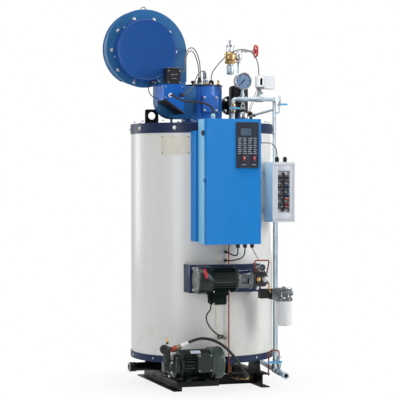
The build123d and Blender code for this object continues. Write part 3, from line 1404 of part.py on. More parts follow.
with BuildPart() as feed_motor:
    base_top = FEED_BASE_Z + FEED_BASE_SHEET
    finned_body((FEED_MOTOR_LEFT, FEED_Y, FEED_Z), (FEED_COVER_LEFT, FEED_Y, FEED_Z), FEED_MOTOR_RADIUS, 28)
    fan_cover((FEED_COVER_LEFT, FEED_Y, FEED_Z), (FEED_COVER_RIGHT, FEED_Y, FEED_Z), FEED_COVER_RADIUS)
    for foot_x in FEED_FEET:
        block(
            (foot_x, FEED_Y - FEED_FOOT_HALF, base_top),
            (foot_x + FEED_FOOT_WIDTH, FEED_Y + FEED_FOOT_HALF, base_top + 10),
        )
        block((foot_x, FEED_Y - 48, base_top), (foot_x + FEED_FOOT_WIDTH, FEED_Y + 48, FEED_Z - 40))
    with BuildSketch(Plane.XZ.offset(-FEED_Y + FEED_MOTOR_RADIUS - 18)):
        with Locations(((FEED_BOX_LEFT + FEED_BOX_RIGHT) / 2, (FEED_BOX_BOTTOM + FEED_BOX_TOP) / 2)):
            RectangleRounded(FEED_BOX_RIGHT - FEED_BOX_LEFT - 8, FEED_BOX_TOP - FEED_BOX_BOTTOM - 8, 8)
    extrude(amount=FEED_BOX_REACH - FEED_MOTOR_RADIUS + 4)
    with BuildSketch(Plane.XZ.offset(-FEED_Y + FEED_BOX_REACH - 14)):
        with Locations(((FEED_BOX_LEFT + FEED_BOX_RIGHT) / 2, (FEED_BOX_BOTTOM + FEED_BOX_TOP) / 2)):
            RectangleRounded(FEED_BOX_RIGHT - FEED_BOX_LEFT, FEED_BOX_TOP - FEED_BOX_BOTTOM, 10)
    extrude(amount=14)
    fillet(feed_motor.faces().sort_by(Axis.Y)[0].edges(), 4)

with BuildPart() as feed_pump:
    casing_left = FEED_MOTOR_LEFT - FEED_CASING_DEPTH
    with BuildSketch(Plane.YZ.offset(casing_left)):
        with BuildLine():
            rise = 8
            CenterArc((FEED_Y, FEED_AXIS_Z), FEED_CASING_RADIUS, 180, 180)
            Line((FEED_Y + FEED_CASING_RADIUS, FEED_AXIS_Z), (FEED_Y + FEED_CASING_RADIUS, FEED_AXIS_Z + rise))
            CenterArc((FEED_Y, FEED_AXIS_Z + rise), FEED_CASING_RADIUS, 0, 180)
            Line((FEED_Y - FEED_CASING_RADIUS, FEED_AXIS_Z + rise), (FEED_Y - FEED_CASING_RADIUS, FEED_AXIS_Z))
        make_face()
    extrude(amount=FEED_CASING_DEPTH)
    chamfer(feed_pump.faces().sort_by(Axis.X)[0].edges(), 8)
    turned(
        (casing_left, FEED_Y, FEED_AXIS_Z),
        (-1, 0, 0),
        [(38, 0), (38, 20), (32, 28), (26, 30), (26, FEED_NOSE - 12), (30, FEED_NOSE - 12), (30, FEED_NOSE)],
    )
    rod((FEED_NECK_X, FEED_Y, FEED_AXIS_Z), (FEED_NECK_X, FEED_Y, FEED_NECK_TOP), FEED_NECK_RADIUS)
    turned(
        (FEED_NECK_X, FEED_Y, FEED_NECK_TOP - 8),
        (0, 0, 1),
        [(FEED_NECK_RADIUS + 5, 0), (FEED_NECK_RADIUS + 5, 16), (FEED_NECK_RADIUS - 4, 22)],
    )
    turned(
        (FEED_NECK_X - 22, FEED_Y, FEED_NECK_TOP + 2),
        (0, -1, 0),
        [(18, -8), (18, 20), (FEED_CAP_RADIUS, 22), (FEED_CAP_RADIUS, 34), (FEED_CAP_RADIUS - 4, 37)],
    )

with BuildPart() as water_inlet:
    rod((INLET_END, INLET_Y, INLET_Z), (INLET_END + INLET_SLEEVE, INLET_Y, INLET_Z), INLET_SLEEVE_RADIUS)
    bent_pipe(
        [
            (INLET_END + INLET_SLEEVE, INLET_Y, INLET_Z),
            (INLET_RISE, INLET_Y, INLET_Z),
            (INLET_RISE, INLET_Y, JACKET_BOTTOM),
        ],
        INLET_BEND,
        INLET_RADIUS,
    )
    rod(
        (INLET_END, INLET_Y, INLET_Z),
        (INLET_END + INLET_SLEEVE, INLET_Y, INLET_Z),
        INLET_RADIUS - 6,
        mode=Mode.SUBTRACT,
    )

with BuildPart() as feed_fittings:
    hose_at = Vector(*HOSE_START)
    neck_at = Vector(FEED_NECK_X, FEED_Y, FEED_NECK_TOP - 18)
    lean = (hose_at - neck_at).normalized()
    rod(tuple(neck_at), tuple(hose_at), HOSE_TAIL_RADIUS)
    hexagon(tuple(neck_at + lean * 34), tuple(neck_at + lean * 58), 30)
    turned(
        tuple(neck_at + lean * 58),
        tuple(lean),
        [(13, 0), (13, 12), (15, 14), (15, 26), (13, 28), (13, 44), (HOSE_TAIL_RADIUS, 48)],
    )
    rod(
        (FEED_NECK_X, FEED_Y, FEED_AXIS_Z),
        (FEED_NECK_X, FEED_Y, FEED_NECK_TOP + 16),
        FEED_NECK_RADIUS + 5 + CURVED_SEAT,
        mode=Mode.SUBTRACT,
    )
    bent_pipe(
        [(*WATER_RISE, JACKET_BOTTOM), (*WATER_RISE, WATER_LOW), (WATER_RISE[0], WATER_FRONT, WATER_LOW)],
        20,
        HOSE_TAIL_RADIUS,
    )
    elbow = (117, -482, 75)
    rod(elbow, (WATER_RISE[0] + 4, WATER_FRONT, WATER_LOW), 9)
    rod(HOSE_END, elbow, 10)

# Cable glands and the grommets on the seam cover
with BuildPart() as cable_glands:
    gland_rows = [((TOP_GLAND_X, GLAND_Y, CABINET_TOP), (0, 0, 1), GLAND_LENGTH)]
    for gland_x in BOTTOM_GLANDS:
        gland_rows.append(((gland_x, GLAND_Y, CABINET_BOTTOM), (0, 0, -1), GLAND_SHORT))
    gland_rows.append(((CABINET_RIGHT, SIDE_GLAND_Y, SIDE_GLAND_Z), (1, 0, 0), GLAND_LENGTH))
    for gland_x, back in BOX_GLANDS:
        gland_rows.append(((gland_x, BOX_GLAND_Y + back, BOX_TOP), (0, 0, 1), GLAND_LENGTH))
    for gland_x, gland_z in (DAMPER_GLAND_LEFT, DAMPER_GLAND_RIGHT):
        gland_rows.append(((gland_x, DAMPER_FRONT, gland_z), (0, -1, 0), DAMPER_GLAND))
    for foot, along, length in gland_rows:
        nut = Vector(*foot) + Vector(*along) * length * 0.4
        hexagon(foot, tuple(nut), 2 * GLAND_RADIUS - 2)
        turned(
            tuple(nut),
            along,
            [(GLAND_RADIUS, 0), (GLAND_RADIUS, length * 0.35), (GLAND_RADIUS * 0.6, length * 0.6)],
        )
    for grommet_x, grommet_z in GROMMETS:
        rod(
            (grommet_x, -JACKET_RADIUS + GROMMET_RADIUS, grommet_z),
            (grommet_x, -(JACKET_RADIUS + GROMMET_REACH), grommet_z),
            GROMMET_RADIUS,
        )
    rod((0, 0, PATCH_BOTTOM), (0, 0, STANDOFF_BOTTOM), JACKET_RADIUS + CURVED_SEAT, mode=Mode.SUBTRACT)
    rod((0, 0, PATCH_BOTTOM), (0, 0, PATCH_TOP), SEAM_RADIUS + CURVED_SEAT, mode=Mode.SUBTRACT)


# Hoses and cables, each along its own hand-laid route
def cord(name, route, diameter):
    """A round cord whose bends are as large as their runs allow."""
    points = [Vector(*point) for point in route]
    radii = []
    for before, here, after in zip(points, points[1:], points[2:]):
        turn = (here - before).get_angle(after - here)
        shorter = min((here - before).length, (after - here).length)
        radii.append(0.45 * shorter / math.tan(math.radians(turn / 2)))
    with BuildPart() as tube:
        with BuildLine() as line:
            FilletPolyline(*points, radius=radii)
        with BuildSketch(Plane(origin=points[0], z_dir=points[1] - points[0])) as section:
            Circle(diameter / 2)
        sweep(section.sketch, path=line.line)
    length = sum(edge.length for edge in line.line.edges())
    ideal = math.pi * diameter**2 / 4 * length
    print(name, [round(r) for r in radii], "volume share", round(tube.part.volume / ideal, 4))
    return tube


feed_hose = cord(
    "feed_hose",
    [
        HOSE_START,
        (-207, -525, 312),
        (-158, -532, 315),
        (-108, -545, 302),
        (-60, -556, 275),
        (-15, -556, 232),
        (28, -544, 184),
        (66, -526, 138),
        (90, -500, 108),
        HOSE_END,
    ],
    16,
)
damper_conduit = cord(
    "damper_conduit",
    [
        (DAMPER_GLAND_LEFT[0], DAMPER_FRONT - DAMPER_GLAND, DAMPER_GLAND_LEFT[1]),
        (DAMPER_GLAND_LEFT[0], -312, DAMPER_GLAND_LEFT[1]),
        (-258, -352, 1648),
        (-222, -390, 1630),
        (-183, -430, 1629),
        (-148, -475, 1622),
        (-122, -512, 1606),
        (TOP_GLAND_X, GLAND_Y, 1582),
        (TOP_GLAND_X, GLAND_Y, CABINET_TOP + GLAND_LENGTH),
    ],
    12,
)
sensor_cable = cord(
    "sensor_cable",
    [
        (DAMPER_GLAND_RIGHT[0], DAMPER_FRONT - DAMPER_GLAND, DAMPER_GLAND_RIGHT[1]),
        (DAMPER_GLAND_RIGHT[0], -298, DAMPER_GLAND_RIGHT[1]),
        (-182, -304, 1692),
        (-150, -276, 1716),
        (-122, -235, 1748),
        (-90, -180, 1790),
        (-44, -112, 1822),
        (-2, -62, 1828),
        (FLAME_EYE_X, LID_FITTINGS_Y, 1808),
        (FLAME_EYE_X, LID_FITTINGS_Y, LID_TOP + 36),
    ],
    6,
)
ignition_cable_a = cord(
    "ignition_cable_a",
    [
        (SPARK_PLUG_X - 4, LID_FITTINGS_Y, LID_TOP + 44),
        (SPARK_PLUG_X - 4, LID_FITTINGS_Y, 1842),
        (-50, -58, 1898),
        (-80, -78, 1945),
        (-120, -115, 1938),
        (-148, -150, 1892),
        (-166, -184, 1838),
        (-178, IGNITION_POSTS_Y[0], IGNITION_POST_Z),
        (ignition_right + IGNITION_POST, IGNITION_POSTS_Y[0], IGNITION_POST_Z),
    ],
    6,
)
ignition_cable_b = cord(
    "ignition_cable_b",
    [
        (SPARK_PLUG_X + 5, LID_FITTINGS_Y, LID_TOP + 44),
        (SPARK_PLUG_X + 5, LID_FITTINGS_Y, 1846),
        (-38, -58, 1908),
        (-72, -80, 1962),
        (-122, -122, 1956),
        (-158, -170, 1908),
        (-172, -208, 1846),
        (-180, IGNITION_POSTS_Y[1], IGNITION_POST_Z),
        (ignition_right + IGNITION_POST, IGNITION_POSTS_Y[1], IGNITION_POST_Z),
    ],
    6,
)
switch_cable = cord(
    "switch_cable",
    [
        (SWITCH_X - 4, -186, switch_top),
        (SWITCH_X - 4, -186, 1834),
        (284, -180, 1881),
        (272, -170, 1917),
        (245, -160, 1945),
        (208, -140, 1957),
        (168, -130, 1950),
        (132, -110, 1927),
        (96, -90, 1895),
        (66, -68, 1855),
        (SOLENOID_X, LID_FITTINGS_Y, 1812),
        (SOLENOID_X, LID_FITTINGS_Y, LID_TOP + 34),
    ],
    6,
)
grommet_y = -(JACKET_RADIUS + GROMMET_REACH)
motor_cable_a = cord(
    "motor_cable_a",
    [
        (BOTTOM_GLANDS[0], GLAND_Y, CABINET_BOTTOM - GLAND_SHORT),
        (BOTTOM_GLANDS[0], GLAND_Y, 788),
        (38, -508, 768),
        (24, -474, 770),
        (GROMMETS[0][0], -454, GROMMETS[0][1]),
        (GROMMETS[0][0], grommet_y, GROMMETS[0][1]),
    ],
    7,
)
motor_cable_b = cord(
    "motor_cable_b",
    [
        (BOTTOM_GLANDS[1], GLAND_Y, CABINET_BOTTOM - GLAND_SHORT),
        (BOTTOM_GLANDS[1], GLAND_Y, 782),
        (74, -500, 756),
        (48, -470, 742),
        (GROMMETS[1][0], -466, GROMMETS[1][1]),
        (GROMMETS[1][0], grommet_y, GROMMETS[1][1]),
    ],
    7,
)
pump_cable = cord(
    "pump_cable",
    [
        (FUEL_GLAND_X, FUEL_Y, FUEL_BOX_BOTTOM),
        (FUEL_GLAND_X, FUEL_Y, 476),
        (-156, -544, 446),
        (-146, -522, 404),
        (-112, -492, 364),
        (-70, -466, 328),
        (GROMMETS[2][0], -458, GROMMETS[2][1]),
        (GROMMETS[2][0], grommet_y, GROMMETS[2][1]),
    ],
    8,
)
box_cable = cord(
    "box_cable",
    [
        (CABINET_RIGHT + GLAND_LENGTH, SIDE_GLAND_Y, SIDE_GLAND_Z),
        (200, SIDE_GLAND_Y, SIDE_GLAND_Z),
        (240, -488, 1402),
        (284, -440, 1390),
        (BOX_GLANDS[0][0], BOX_GLAND_Y, 1364),
        (BOX_GLANDS[0][0], BOX_GLAND_Y, BOX_TOP + GLAND_LENGTH),
    ],
    6,
)
# Pieces and their files
pieces = {
    "jacket_shell": jacket_shell,
    "jacket_bands": jacket_bands,
    "base_plate": base_plate,
    "top_cover": top_cover,
    "seam_cover": seam_cover,
    "lifting_lugs": lifting_lugs,
    "base_skids": base_skids,
    "burner_drum": burner_drum,
    "drum_lid": drum_lid,
    "inspection_plate": inspection_plate,
    "fan_casing": fan_casing,
    "fan_flange": fan_flange,
    "fan_inlet_cover": fan_inlet_cover,
    "fan_outlet_duct": fan_outlet_duct,
    "fan_motor": fan_motor,
    "damper_box": damper_box,
    "ignition_transformer": ignition_transformer,
    "burner_fittings": burner_fittings,
    "steam_column": steam_column,
    "safety_valve_riser": safety_valve,
    "safety_valve_body": safety_valve_body,
    "safety_valve_outlet": safety_valve_outlet,
    "gauge_pipework": gauge_pipework,
    "pressure_gauge": pressure_gauge,
    "pressure_switch": pressure_switch,
    "water_column": water_column,
    "blowdown_lever": blowdown_lever,
    "drain_line": drain_line,
    "cabinet_standoff": cabinet_standoff,
    "cabinet_body": cabinet_body,
    "cabinet_door": cabinet_door,
    "display_panel": display_panel,
    "junction_box": junction_box,
    "fuel_plate": fuel_plate,
    "fuel_motor": fuel_motor,
    "fuel_coupling": fuel_coupling,
    "fuel_pump": fuel_pump,
    "filter_head": filter_head,
    "filter_canister": filter_canister,
    "feed_base": feed_base,
    "feed_motor": feed_motor,
    "feed_pump": feed_pump,
    "water_inlet": water_inlet,
    "flue_outlet": flue_outlet,
    "gauge_cock_handle": gauge_cock_handle,
    "drain_cock_handle": drain_cock_handle,
    "fuel_lines": fuel_lines,
    "fuel_fittings": fuel_fittings,
    "feed_fittings": feed_fittings,
    "cable_glands": cable_glands,
    "feed_hose": feed_hose,
    "damper_conduit": damper_conduit,
    "sensor_cable": sensor_cable,
    "ignition_cable_a": ignition_cable_a,
    "ignition_cable_b": ignition_cable_b,
    "switch_cable": switch_cable,
    "motor_cable_a": motor_cable_a,
    "motor_cable_b": motor_cable_b,
    "pump_cable": pump_cable,
    "box_cable": box_cable,
}
os.makedirs("parts", exist_ok=True)
for name, piece in pieces.items():
    piece.part.label = name
    export_step(piece.part, f"parts/{name}.step")
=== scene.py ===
import math

import bmesh
import bpy
from mathutils import Matrix, Vector


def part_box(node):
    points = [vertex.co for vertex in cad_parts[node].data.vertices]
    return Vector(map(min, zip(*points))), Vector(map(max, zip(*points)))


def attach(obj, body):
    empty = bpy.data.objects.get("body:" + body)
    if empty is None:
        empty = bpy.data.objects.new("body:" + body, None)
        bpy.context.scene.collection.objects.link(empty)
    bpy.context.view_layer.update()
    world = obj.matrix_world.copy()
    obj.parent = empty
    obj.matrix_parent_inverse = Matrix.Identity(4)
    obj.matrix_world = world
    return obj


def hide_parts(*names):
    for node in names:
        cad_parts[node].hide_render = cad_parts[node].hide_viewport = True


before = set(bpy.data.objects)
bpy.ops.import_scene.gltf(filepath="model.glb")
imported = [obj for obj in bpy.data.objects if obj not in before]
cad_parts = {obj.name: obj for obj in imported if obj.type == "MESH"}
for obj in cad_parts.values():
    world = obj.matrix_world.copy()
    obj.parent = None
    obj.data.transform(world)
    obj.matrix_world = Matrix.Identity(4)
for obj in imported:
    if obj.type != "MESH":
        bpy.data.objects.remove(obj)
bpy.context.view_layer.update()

bl_info = {
    "name": "Upright steam boiler",
    "version": (1, 0, 0),
    "blender": (4, 5, 0),
    "location": "View3D > Sidebar > Boiler",
    "description": "Dresses the packed boiler with its finished metalwork, pipes, cables and studio",
    "category": "Object",
}

MM = 0.001
UP = Vector((0, 0, 1))
FRONT = Vector((0, -1, 0))
RIGHT = Vector((1, 0, 0))
WHOLE_TURN = 2 * math.pi
TINY = 1e-6
WHITE = (1.0, 1.0, 1.0, 1.0)
ALL = (-math.inf, math.inf)
BOILER = "boiler"


def srgb(red, green, blue):
    """A linear colour from display values of 0 to 255."""
    linear = []
    for level in (red, green, blue):
        share = level / 255
        linear.append(share / 12.92 if share < 0.04045 else ((share + 0.055) / 1.055) ** 2.4)
    return (*linear, 1.0)


def colour_choice(label, purpose, display):
    """A colour that the panel offers."""
    return bpy.props.FloatVectorProperty(
        name=label, description=purpose, subtype="COLOR", size=4, min=0, max=1, default=srgb(*display)
    )


def length_choice(label, purpose, metres):
    """A length that the panel offers."""
    settings = {"default": metres, "unit": "LENGTH", "precision": 4}
    return bpy.props.FloatProperty(name=label, description=purpose, **settings)


def level_choice(label, purpose, level):
    """A plain number that the panel offers."""
    return bpy.props.FloatProperty(name=label, description=purpose, default=level)


class BoilerColours(bpy.types.PropertyGroup):
    """The paint and plastic colours."""

    jacket: colour_choice("Jacket", "Off-white enamel of the jacket", (226, 227, 223))
    navy: colour_choice("Navy", "Bands, drum foot and fuel plate", (8, 35, 74))
    fan: colour_choice("Fan casing", "Scroll casing and duct", (38, 104, 158))
    cover: colour_choice("Fan cover", "Round inlet cover", (14, 78, 152))
    drum: colour_choice("Burner drum", "Drum and damper box", (24, 108, 202))
    cabinet: colour_choice("Cabinet", "Control cabinet and its door", (4, 126, 206))
    motor: colour_choice("Motor", "Pump motors and casings", (18, 31, 28))
    handle: colour_choice("Handle", "Sleeves of the small valve levers", (96, 176, 226))
    red: colour_choice("Red", "Valve wheel, rocker caps, motor label and dial band", (196, 22, 44))


class BoilerSizes(bpy.types.PropertyGroup):
    """Sizes of the small pieces."""

    bolt: length_choice("Bolt", "Width across the flats of a jacket bolt", 0.013)
    rivet: length_choice("Rivet", "Radius of a seam rivet's head", 0.003)
    washer: length_choice("Washer", "Thickness of a washer", 0.0015)


class BoilerStudio(bpy.types.PropertyGroup):
    """Camera and lamps."""

    turn: bpy.props.FloatProperty(
        name="Turn", description="How far the camera stands to the left of the front", subtype="ANGLE",
        default=math.radians(18.5),
    )
    distance: length_choice("Distance", "Camera to the boiler's axis", 8.86)
    height: length_choice("Height", "Camera above the floor", 1.22)
    lens: level_choice("Lens", "Focal length in millimetres", 135.0)
    key: level_choice("Key", "Watts of the large lamp at the right", 146.0)
    fill: level_choice("Fill", "Watts of the lamp at the left", 48.0)
    top: level_choice("Top", "Watts of the lamp overhead", 66.0)
    rear: level_choice("Rear", "Watts of each lamp behind", 42.0)
    ambient: level_choice("Ambient", "Strength of the room's light", 0.27)


def colours():
    """The panel's colours."""
    return bpy.context.scene.boiler_colours


def sizes():
    """The panel's sizes."""
    return bpy.context.scene.boiler_sizes


def studio():
    """The panel's camera and lamps."""
    return bpy.context.scene.boiler_studio


class Value:
    """A number in a material. Sums and products of values add the Math nodes that they need."""

    def __init__(self, shader, socket):
        self.shader = shader
        self.socket = socket

    def maths(self, operation, *numbers, clamp=False):
        settings = {"operation": operation, "use_clamp": clamp}
        made = self.shader.node("ShaderNodeMath", settings, dict(enumerate(numbers)))
        return Value(self.shader, made.outputs[0])

    def __add__(self, other):
        return self.maths("ADD", self, other)

    def __mul__(self, other):
        return self.maths("MULTIPLY", self, other)

    def __sub__(self, other):
        return self.maths("SUBTRACT", self, other)

    def __rsub__(self, other):
        return self.maths("SUBTRACT", other, self)

    __radd__ = __add__
    __rmul__ = __mul__

    def between(self, low, high):
        """0 below low, 1 above high, and a straight slope between them."""
        return self.maths("DIVIDE", self - low, high - low, clamp=True)

class Nodes:
    """The nodes of a material or of the room."""

    def __init__(self, tree):
        self.tree = tree

    def fill(self, socket, filling):
        """Gives a socket a value or a link."""
        if isinstance(filling, Value):
            filling = filling.socket
        if isinstance(filling, bpy.types.NodeSocket):
            self.tree.links.new(filling, socket)
        else:
            socket.default_value = filling

    def node(self, kind, settings=None, sockets=None):
        """Adds a node, sets its settings and then fills its sockets with values or links."""
        made = self.tree.nodes.new(kind)
        for name, setting in (settings or {}).items():
            setattr(made, name, setting)
        for name, filling in (sockets or {}).items():
            self.fill(made.inputs[name], filling)
        return made

    def rays(self, kind):
        """1 for one kind of ray and 0 for the others."""
        return Value(self, self.node("ShaderNodeLightPath").outputs[kind])


class Shader(Nodes):
    """One material with its nodes."""

    def __init__(self, name, base, rough, metal=0.0, coat=0.0, coat_rough=0.08):
        self.material = bpy.data.materials.new(name)
        self.material.use_nodes = True
        self.material.diffuse_color = base
        super().__init__(self.material.node_tree)
        self.surface = self.tree.nodes["Principled BSDF"]
        self.set("Base Color", base)
        self.set("Roughness", rough)
        self.set("Metallic", metal)
        self.set("Coat Weight", coat)
        self.set("Coat Roughness", coat_rough)

    def set(self, name, filling):
        self.fill(self.surface.inputs[name], filling)

    def place(self, stretch=(1, 1, 1)):
        """The place on the piece in metres, as a vector."""
        spot = self.node("ShaderNodeTexCoord").outputs["Object"]
        if stretch == (1, 1, 1):
            return spot
        sockets = {"Vector": spot, "Scale": stretch}
        return self.node("ShaderNodeMapping", {"vector_type": "POINT"}, sockets).outputs["Vector"]

    def axis(self, letter):
        """One coordinate of the place, in metres."""
        parts = self.node("ShaderNodeSeparateXYZ", None, {"Vector": self.place()})
        return Value(self, parts.outputs[letter])

    def noise(self, scale, detail=3.0, rough=0.5, stretch=(1, 1, 1)):
        sockets = {"Vector": self.place(stretch), "Scale": scale, "Detail": detail, "Roughness": rough}
        return Value(self, self.node("ShaderNodeTexNoise", None, sockets).outputs["Fac"])

    def mix(self, first, second, share):
        """A colour between two."""
        return self.node("ShaderNodeMix", {"data_type": "RGBA"}, {0: share, 6: first, 7: second}).outputs[2]

    def bump(self, height, depth, strength=1.0):
        sockets = {"Height": height, "Distance": depth, "Strength": strength}
        self.set("Normal", self.node("ShaderNodeBump", None, sockets).outputs["Normal"])


def shade(colour, share):
    """A colour made darker, or lighter above 1."""
    return (*[min(1.0, level * share) for level in colour[:3]], 1.0)


def enamel(name, base, rough=0.3, coat=0.6, peel=0.00006, soil=0.10, sheen=0.5):
    """Sprayed paint with orange peel, faint dust and rub marks."""
    shader = Shader(name, base, rough, coat=coat)
    shader.set("Specular IOR Level", sheen)
    dust = shader.noise(5.0, 5.0, 0.6).between(0.48, 0.78)
    rub = shader.noise(34.0, 4.0, 0.65, (1, 1, 0.35)).between(0.55, 0.8)
    shader.set("Base Color", shader.mix(base, shade(base, 1 - soil * 2.2), dust * 0.5 + rub * 0.25))
    shader.set("Roughness", rough + dust * 0.10 + rub * 0.08)
    shader.bump(shader.noise(420.0, 2.0), peel)
    return shader.material


def jacket_enamel(name, base):
    """Glossy off-white sheet with a slow oil-can wave and faint streaks down it."""
    shader = Shader(name, base, 0.34, coat=0.30, coat_rough=0.22)
    streak = shader.noise(9.0, 4.0, 0.6, (3.2, 3.2, 0.22)).between(0.5, 0.85)
    speck = shader.noise(160.0, 3.0, 0.7).between(0.70, 0.78)
    low = (0.42 - shader.axis("Z")).between(0.0, 0.28) * shader.noise(14.0, 4.0).between(0.45, 0.8)
    soiled = shader.mix(base, srgb(204, 202, 197), streak * 0.22 + speck * 0.12)
    shader.set("Base Color", shader.mix(soiled, srgb(176, 168, 152), low * 0.5))
    shader.set("Roughness", 0.32 + streak * 0.08 + low * 0.2)
    wave = shader.noise(2.6, 0.0, 0.4, (1, 1, 0.22))
    peel = shader.noise(380.0, 2.0)
    shader.bump(wave * 0.30 + peel * 0.012, 0.004, 0.6)
    return shader.material


def cast_paint(name, base, rough=0.42):
    """Paint over rough castings, rubbed to a sheen on raised grain."""
    shader = Shader(name, base, rough, coat=0.35, coat_rough=0.10)
    shader.set("Specular IOR Level", 0.35)
    grain = shader.noise(240.0, 5.0, 0.7)
    soil = shader.noise(18.0, 5.0, 0.65).between(0.45, 0.75)
    shader.set("Base Color", shader.mix(base, shade(base, 1.9), soil * 0.25))
    shader.set("Roughness", rough + grain * 0.18 - soil * 0.06)
    shader.bump(grain, 0.0003, 0.6)
    return shader.material


def black_enamel(name, base):
    """Satin black structural paint with dust and a few chips to primer."""
    shader = Shader(name, base, 0.42)
    shader.set("Specular IOR Level", 0.25)
    dust = shader.noise(11.0, 5.0, 0.65).between(0.45, 0.75)
    chip = shader.noise(95.0, 4.0, 0.7).between(0.735, 0.745)
    painted = shader.mix(base, srgb(60, 60, 62), dust * 0.08)
    shader.set("Base Color", shader.mix(painted, srgb(120, 112, 104), chip))
    shader.set("Roughness", 0.34 + dust * 0.22 + chip * 0.2)
    shader.bump(shader.noise(300.0, 3.0) - chip * 0.6, 0.00018)
    return shader.material


def zinc(name, base):
    """Galvanised steel: spangle, streaks and a dull sheen."""
    shader = Shader(name, base, 0.34, metal=0.6)
    cells = shader.node("ShaderNodeTexVoronoi", None, {"Vector": shader.place(), "Scale": 210.0})
    tone = shader.node("ShaderNodeRGBToBW", None, {"Color": cells.outputs["Color"]})
    crystal = Value(shader, tone.outputs["Val"])
    grime = shader.noise(26.0, 5.0, 0.6, (1, 1, 0.5)).between(0.5, 0.8)
    clean = shader.mix(srgb(190, 209, 220), srgb(224, 236, 243), crystal)
    shader.set("Base Color", shader.mix(clean, srgb(140, 142, 140), grime * 0.55))
    shader.set("Roughness", 0.28 + crystal * 0.16 + grime * 0.2)
    shader.bump(shader.noise(500.0, 2.0) * 0.5 + crystal * 0.5, 0.00008)
    return shader.material


def bare_metal(name, base, rough, tarnish, grain=(1, 1, 1), metal=1.0):
    """Machined or drawn metal with tool lines and tarnish."""
    shader = Shader(name, base, rough, metal=metal)
    stain = shader.noise(30.0, 5.0, 0.65).between(0.42, 0.78)
    lines = shader.noise(900.0, 2.0, 0.5, grain)
    shader.set("Base Color", shader.mix(base, srgb(*tarnish), stain * 0.6))
    shader.set("Roughness", rough + stain * 0.14 + lines * 0.08)
    shader.bump(lines, 0.00005, 0.7)
    return shader.material


def moulded(name, base, rough=0.5, grain=0.00006, coat=0.0):
    """Moulded plastic or rubber with a fine matt grain and scuffs."""
    shader = Shader(name, base, rough, coat=coat)
    scuff = shader.noise(45.0, 4.0, 0.7).between(0.58, 0.8)
    pits = shader.noise(900.0, 2.0)
    shader.set("Base Color", shader.mix(base, shade(base, 1.25), scuff * 0.5))
    shader.set("Roughness", rough + scuff * 0.14 - pits * 0.05)
    shader.bump(pits, grain)
    return shader.material


def clear_glass(name, base):
    """Thin clear cover with a faint smear."""
    shader = Shader(name, base, 0.03)
    smear = shader.noise(60.0, 4.0, 0.7).between(0.5, 0.8)
    shader.set("Roughness", 0.02 + smear * 0.06)
    shader.set("IOR", 1.3)
    shader.set("Alpha", 0.05 + smear * 0.03)
    return shader.material


# Each finish has its maker, its colour from the panel or as display values, and what differs from the
# maker's usual settings, in the maker's own order
FINISHES = {
    "jacket": (jacket_enamel, "jacket"),
    "navy": (enamel, "navy", 0.42, 0.1, 0.00006, 0.10, 0.25),
    "fan": (enamel, "fan", 0.44, 0.05, 0.00006, 0.14, 0.3),
    "cover": (enamel, "cover", 0.40, 0.20, 0.00006, 0.12, 0.3),
    "drum": (enamel, "drum", 0.40, 0.25),
    "cabinet": (enamel, "cabinet", 0.48, 0.0, 0.00010, 0.05, 0.25),
    "damper": (enamel, "drum", 0.46, 0.05, 0.00006, 0.10, 0.25),
    "seam": (enamel, (230, 226, 215), 0.34, 0.3),
    # Painted light: a paler, more cyan copy of the cabinet paint for the cabinet's left side, standing in
    # for the light and reflection on that side
    "cabinet_side": (enamel, (116, 190, 230), 0.44, 0.15, 0.00010, 0.05),
    # Painted reflection and light: the junction box's left side is tinted pale cyan-blue for the blue
    # cabinet reflected in it and the light on that side
    "box_side": (enamel, (210, 244, 255), 0.36, 0.2),
    "lid": (enamel, (26, 27, 32), 0.34, 0.4),
    "white": (enamel, (232, 234, 236), 0.26, 0.6, 0.00006, 0.05),
    "black": (black_enamel, (11, 11, 12)),
    "motor": (cast_paint, "motor", 0.30),
    "motor_cover": (cast_paint, (16, 24, 25), 0.24),
    "ribbed_cover": (cast_paint, (58, 72, 66), 0.30),
    "grille": (cast_paint, (150, 156, 154), 0.32),
    "zinc": (zinc, (206, 218, 226)),
    "steel": (bare_metal, (205, 208, 212), 0.20, (150, 152, 156)),
    "bolt": (bare_metal, (212, 214, 218), 0.30, (150, 146, 138)),
    "brass": (bare_metal, (216, 180, 122), 0.26, (150, 110, 66)),
    "copper": (bare_metal, (160, 84, 66), 0.34, (84, 38, 34), (1, 1, 0.1)),
    "gunmetal": (bare_metal, (122, 126, 130), 0.16, (62, 66, 70)),
    "nickel": (bare_metal, (168, 156, 132), 0.24, (98, 78, 60)),
    "bronze": (bare_metal, (104, 90, 76), 0.34, (56, 48, 42)),
    "plate": (bare_metal, (216, 211, 198), 0.44, (204, 198, 184), (1, 1, 1), 0.2),
    "seal": (moulded, (64, 118, 152), 0.6),
    "pale": (moulded, (224, 228, 232), 0.42),
    "cyan": (moulded, (188, 226, 228), 0.40),
    "dark": (moulded, (24, 24, 27), 0.45),
    "window": (moulded, (8, 9, 12), 0.12, 0.00001, 0.5),
    "rubber": (moulded, (22, 22, 23), 0.55, 0.00010),
    "cable": (moulded, (96, 94, 92), 0.45, 0.00005),
    "handle": (moulded, "handle", 0.34, 0.00005, 0.3),
    "red": (moulded, "red", 0.40, 0.00005, 0.2),
    "label": (moulded, (196, 204, 224), 0.38, 0.00002, 0.2),
    "dial": (moulded, (132, 164, 200), 0.5, 0.00001),
    "trim": (moulded, (38, 48, 66), 0.42),
    "print": (moulded, (196, 206, 218), 0.5, 0.00001),
    "ink": (moulded, (14, 15, 18), 0.5, 0.00001),
    "green": (moulded, (40, 150, 90), 0.5, 0.00001),
    "screen": (moulded, (76, 98, 120), 0.22, 0.00001, 0.4),
    "orange": (moulded, (214, 92, 40), 0.42),
    "deep_red": (moulded, (112, 24, 34), 0.42),
    "glass": (clear_glass, (60, 72, 88)),
}
made_finishes = {}


def finish(name):
    """The material of a finish, made the first time it is asked for."""
    if name not in made_finishes:
        maker, source, *settings = FINISHES[name]
        base = tuple(getattr(colours(), source)) if isinstance(source, str) else srgb(*source)
        made_finishes[name] = maker(name + "_finish", base, *settings)
    return made_finishes[name]


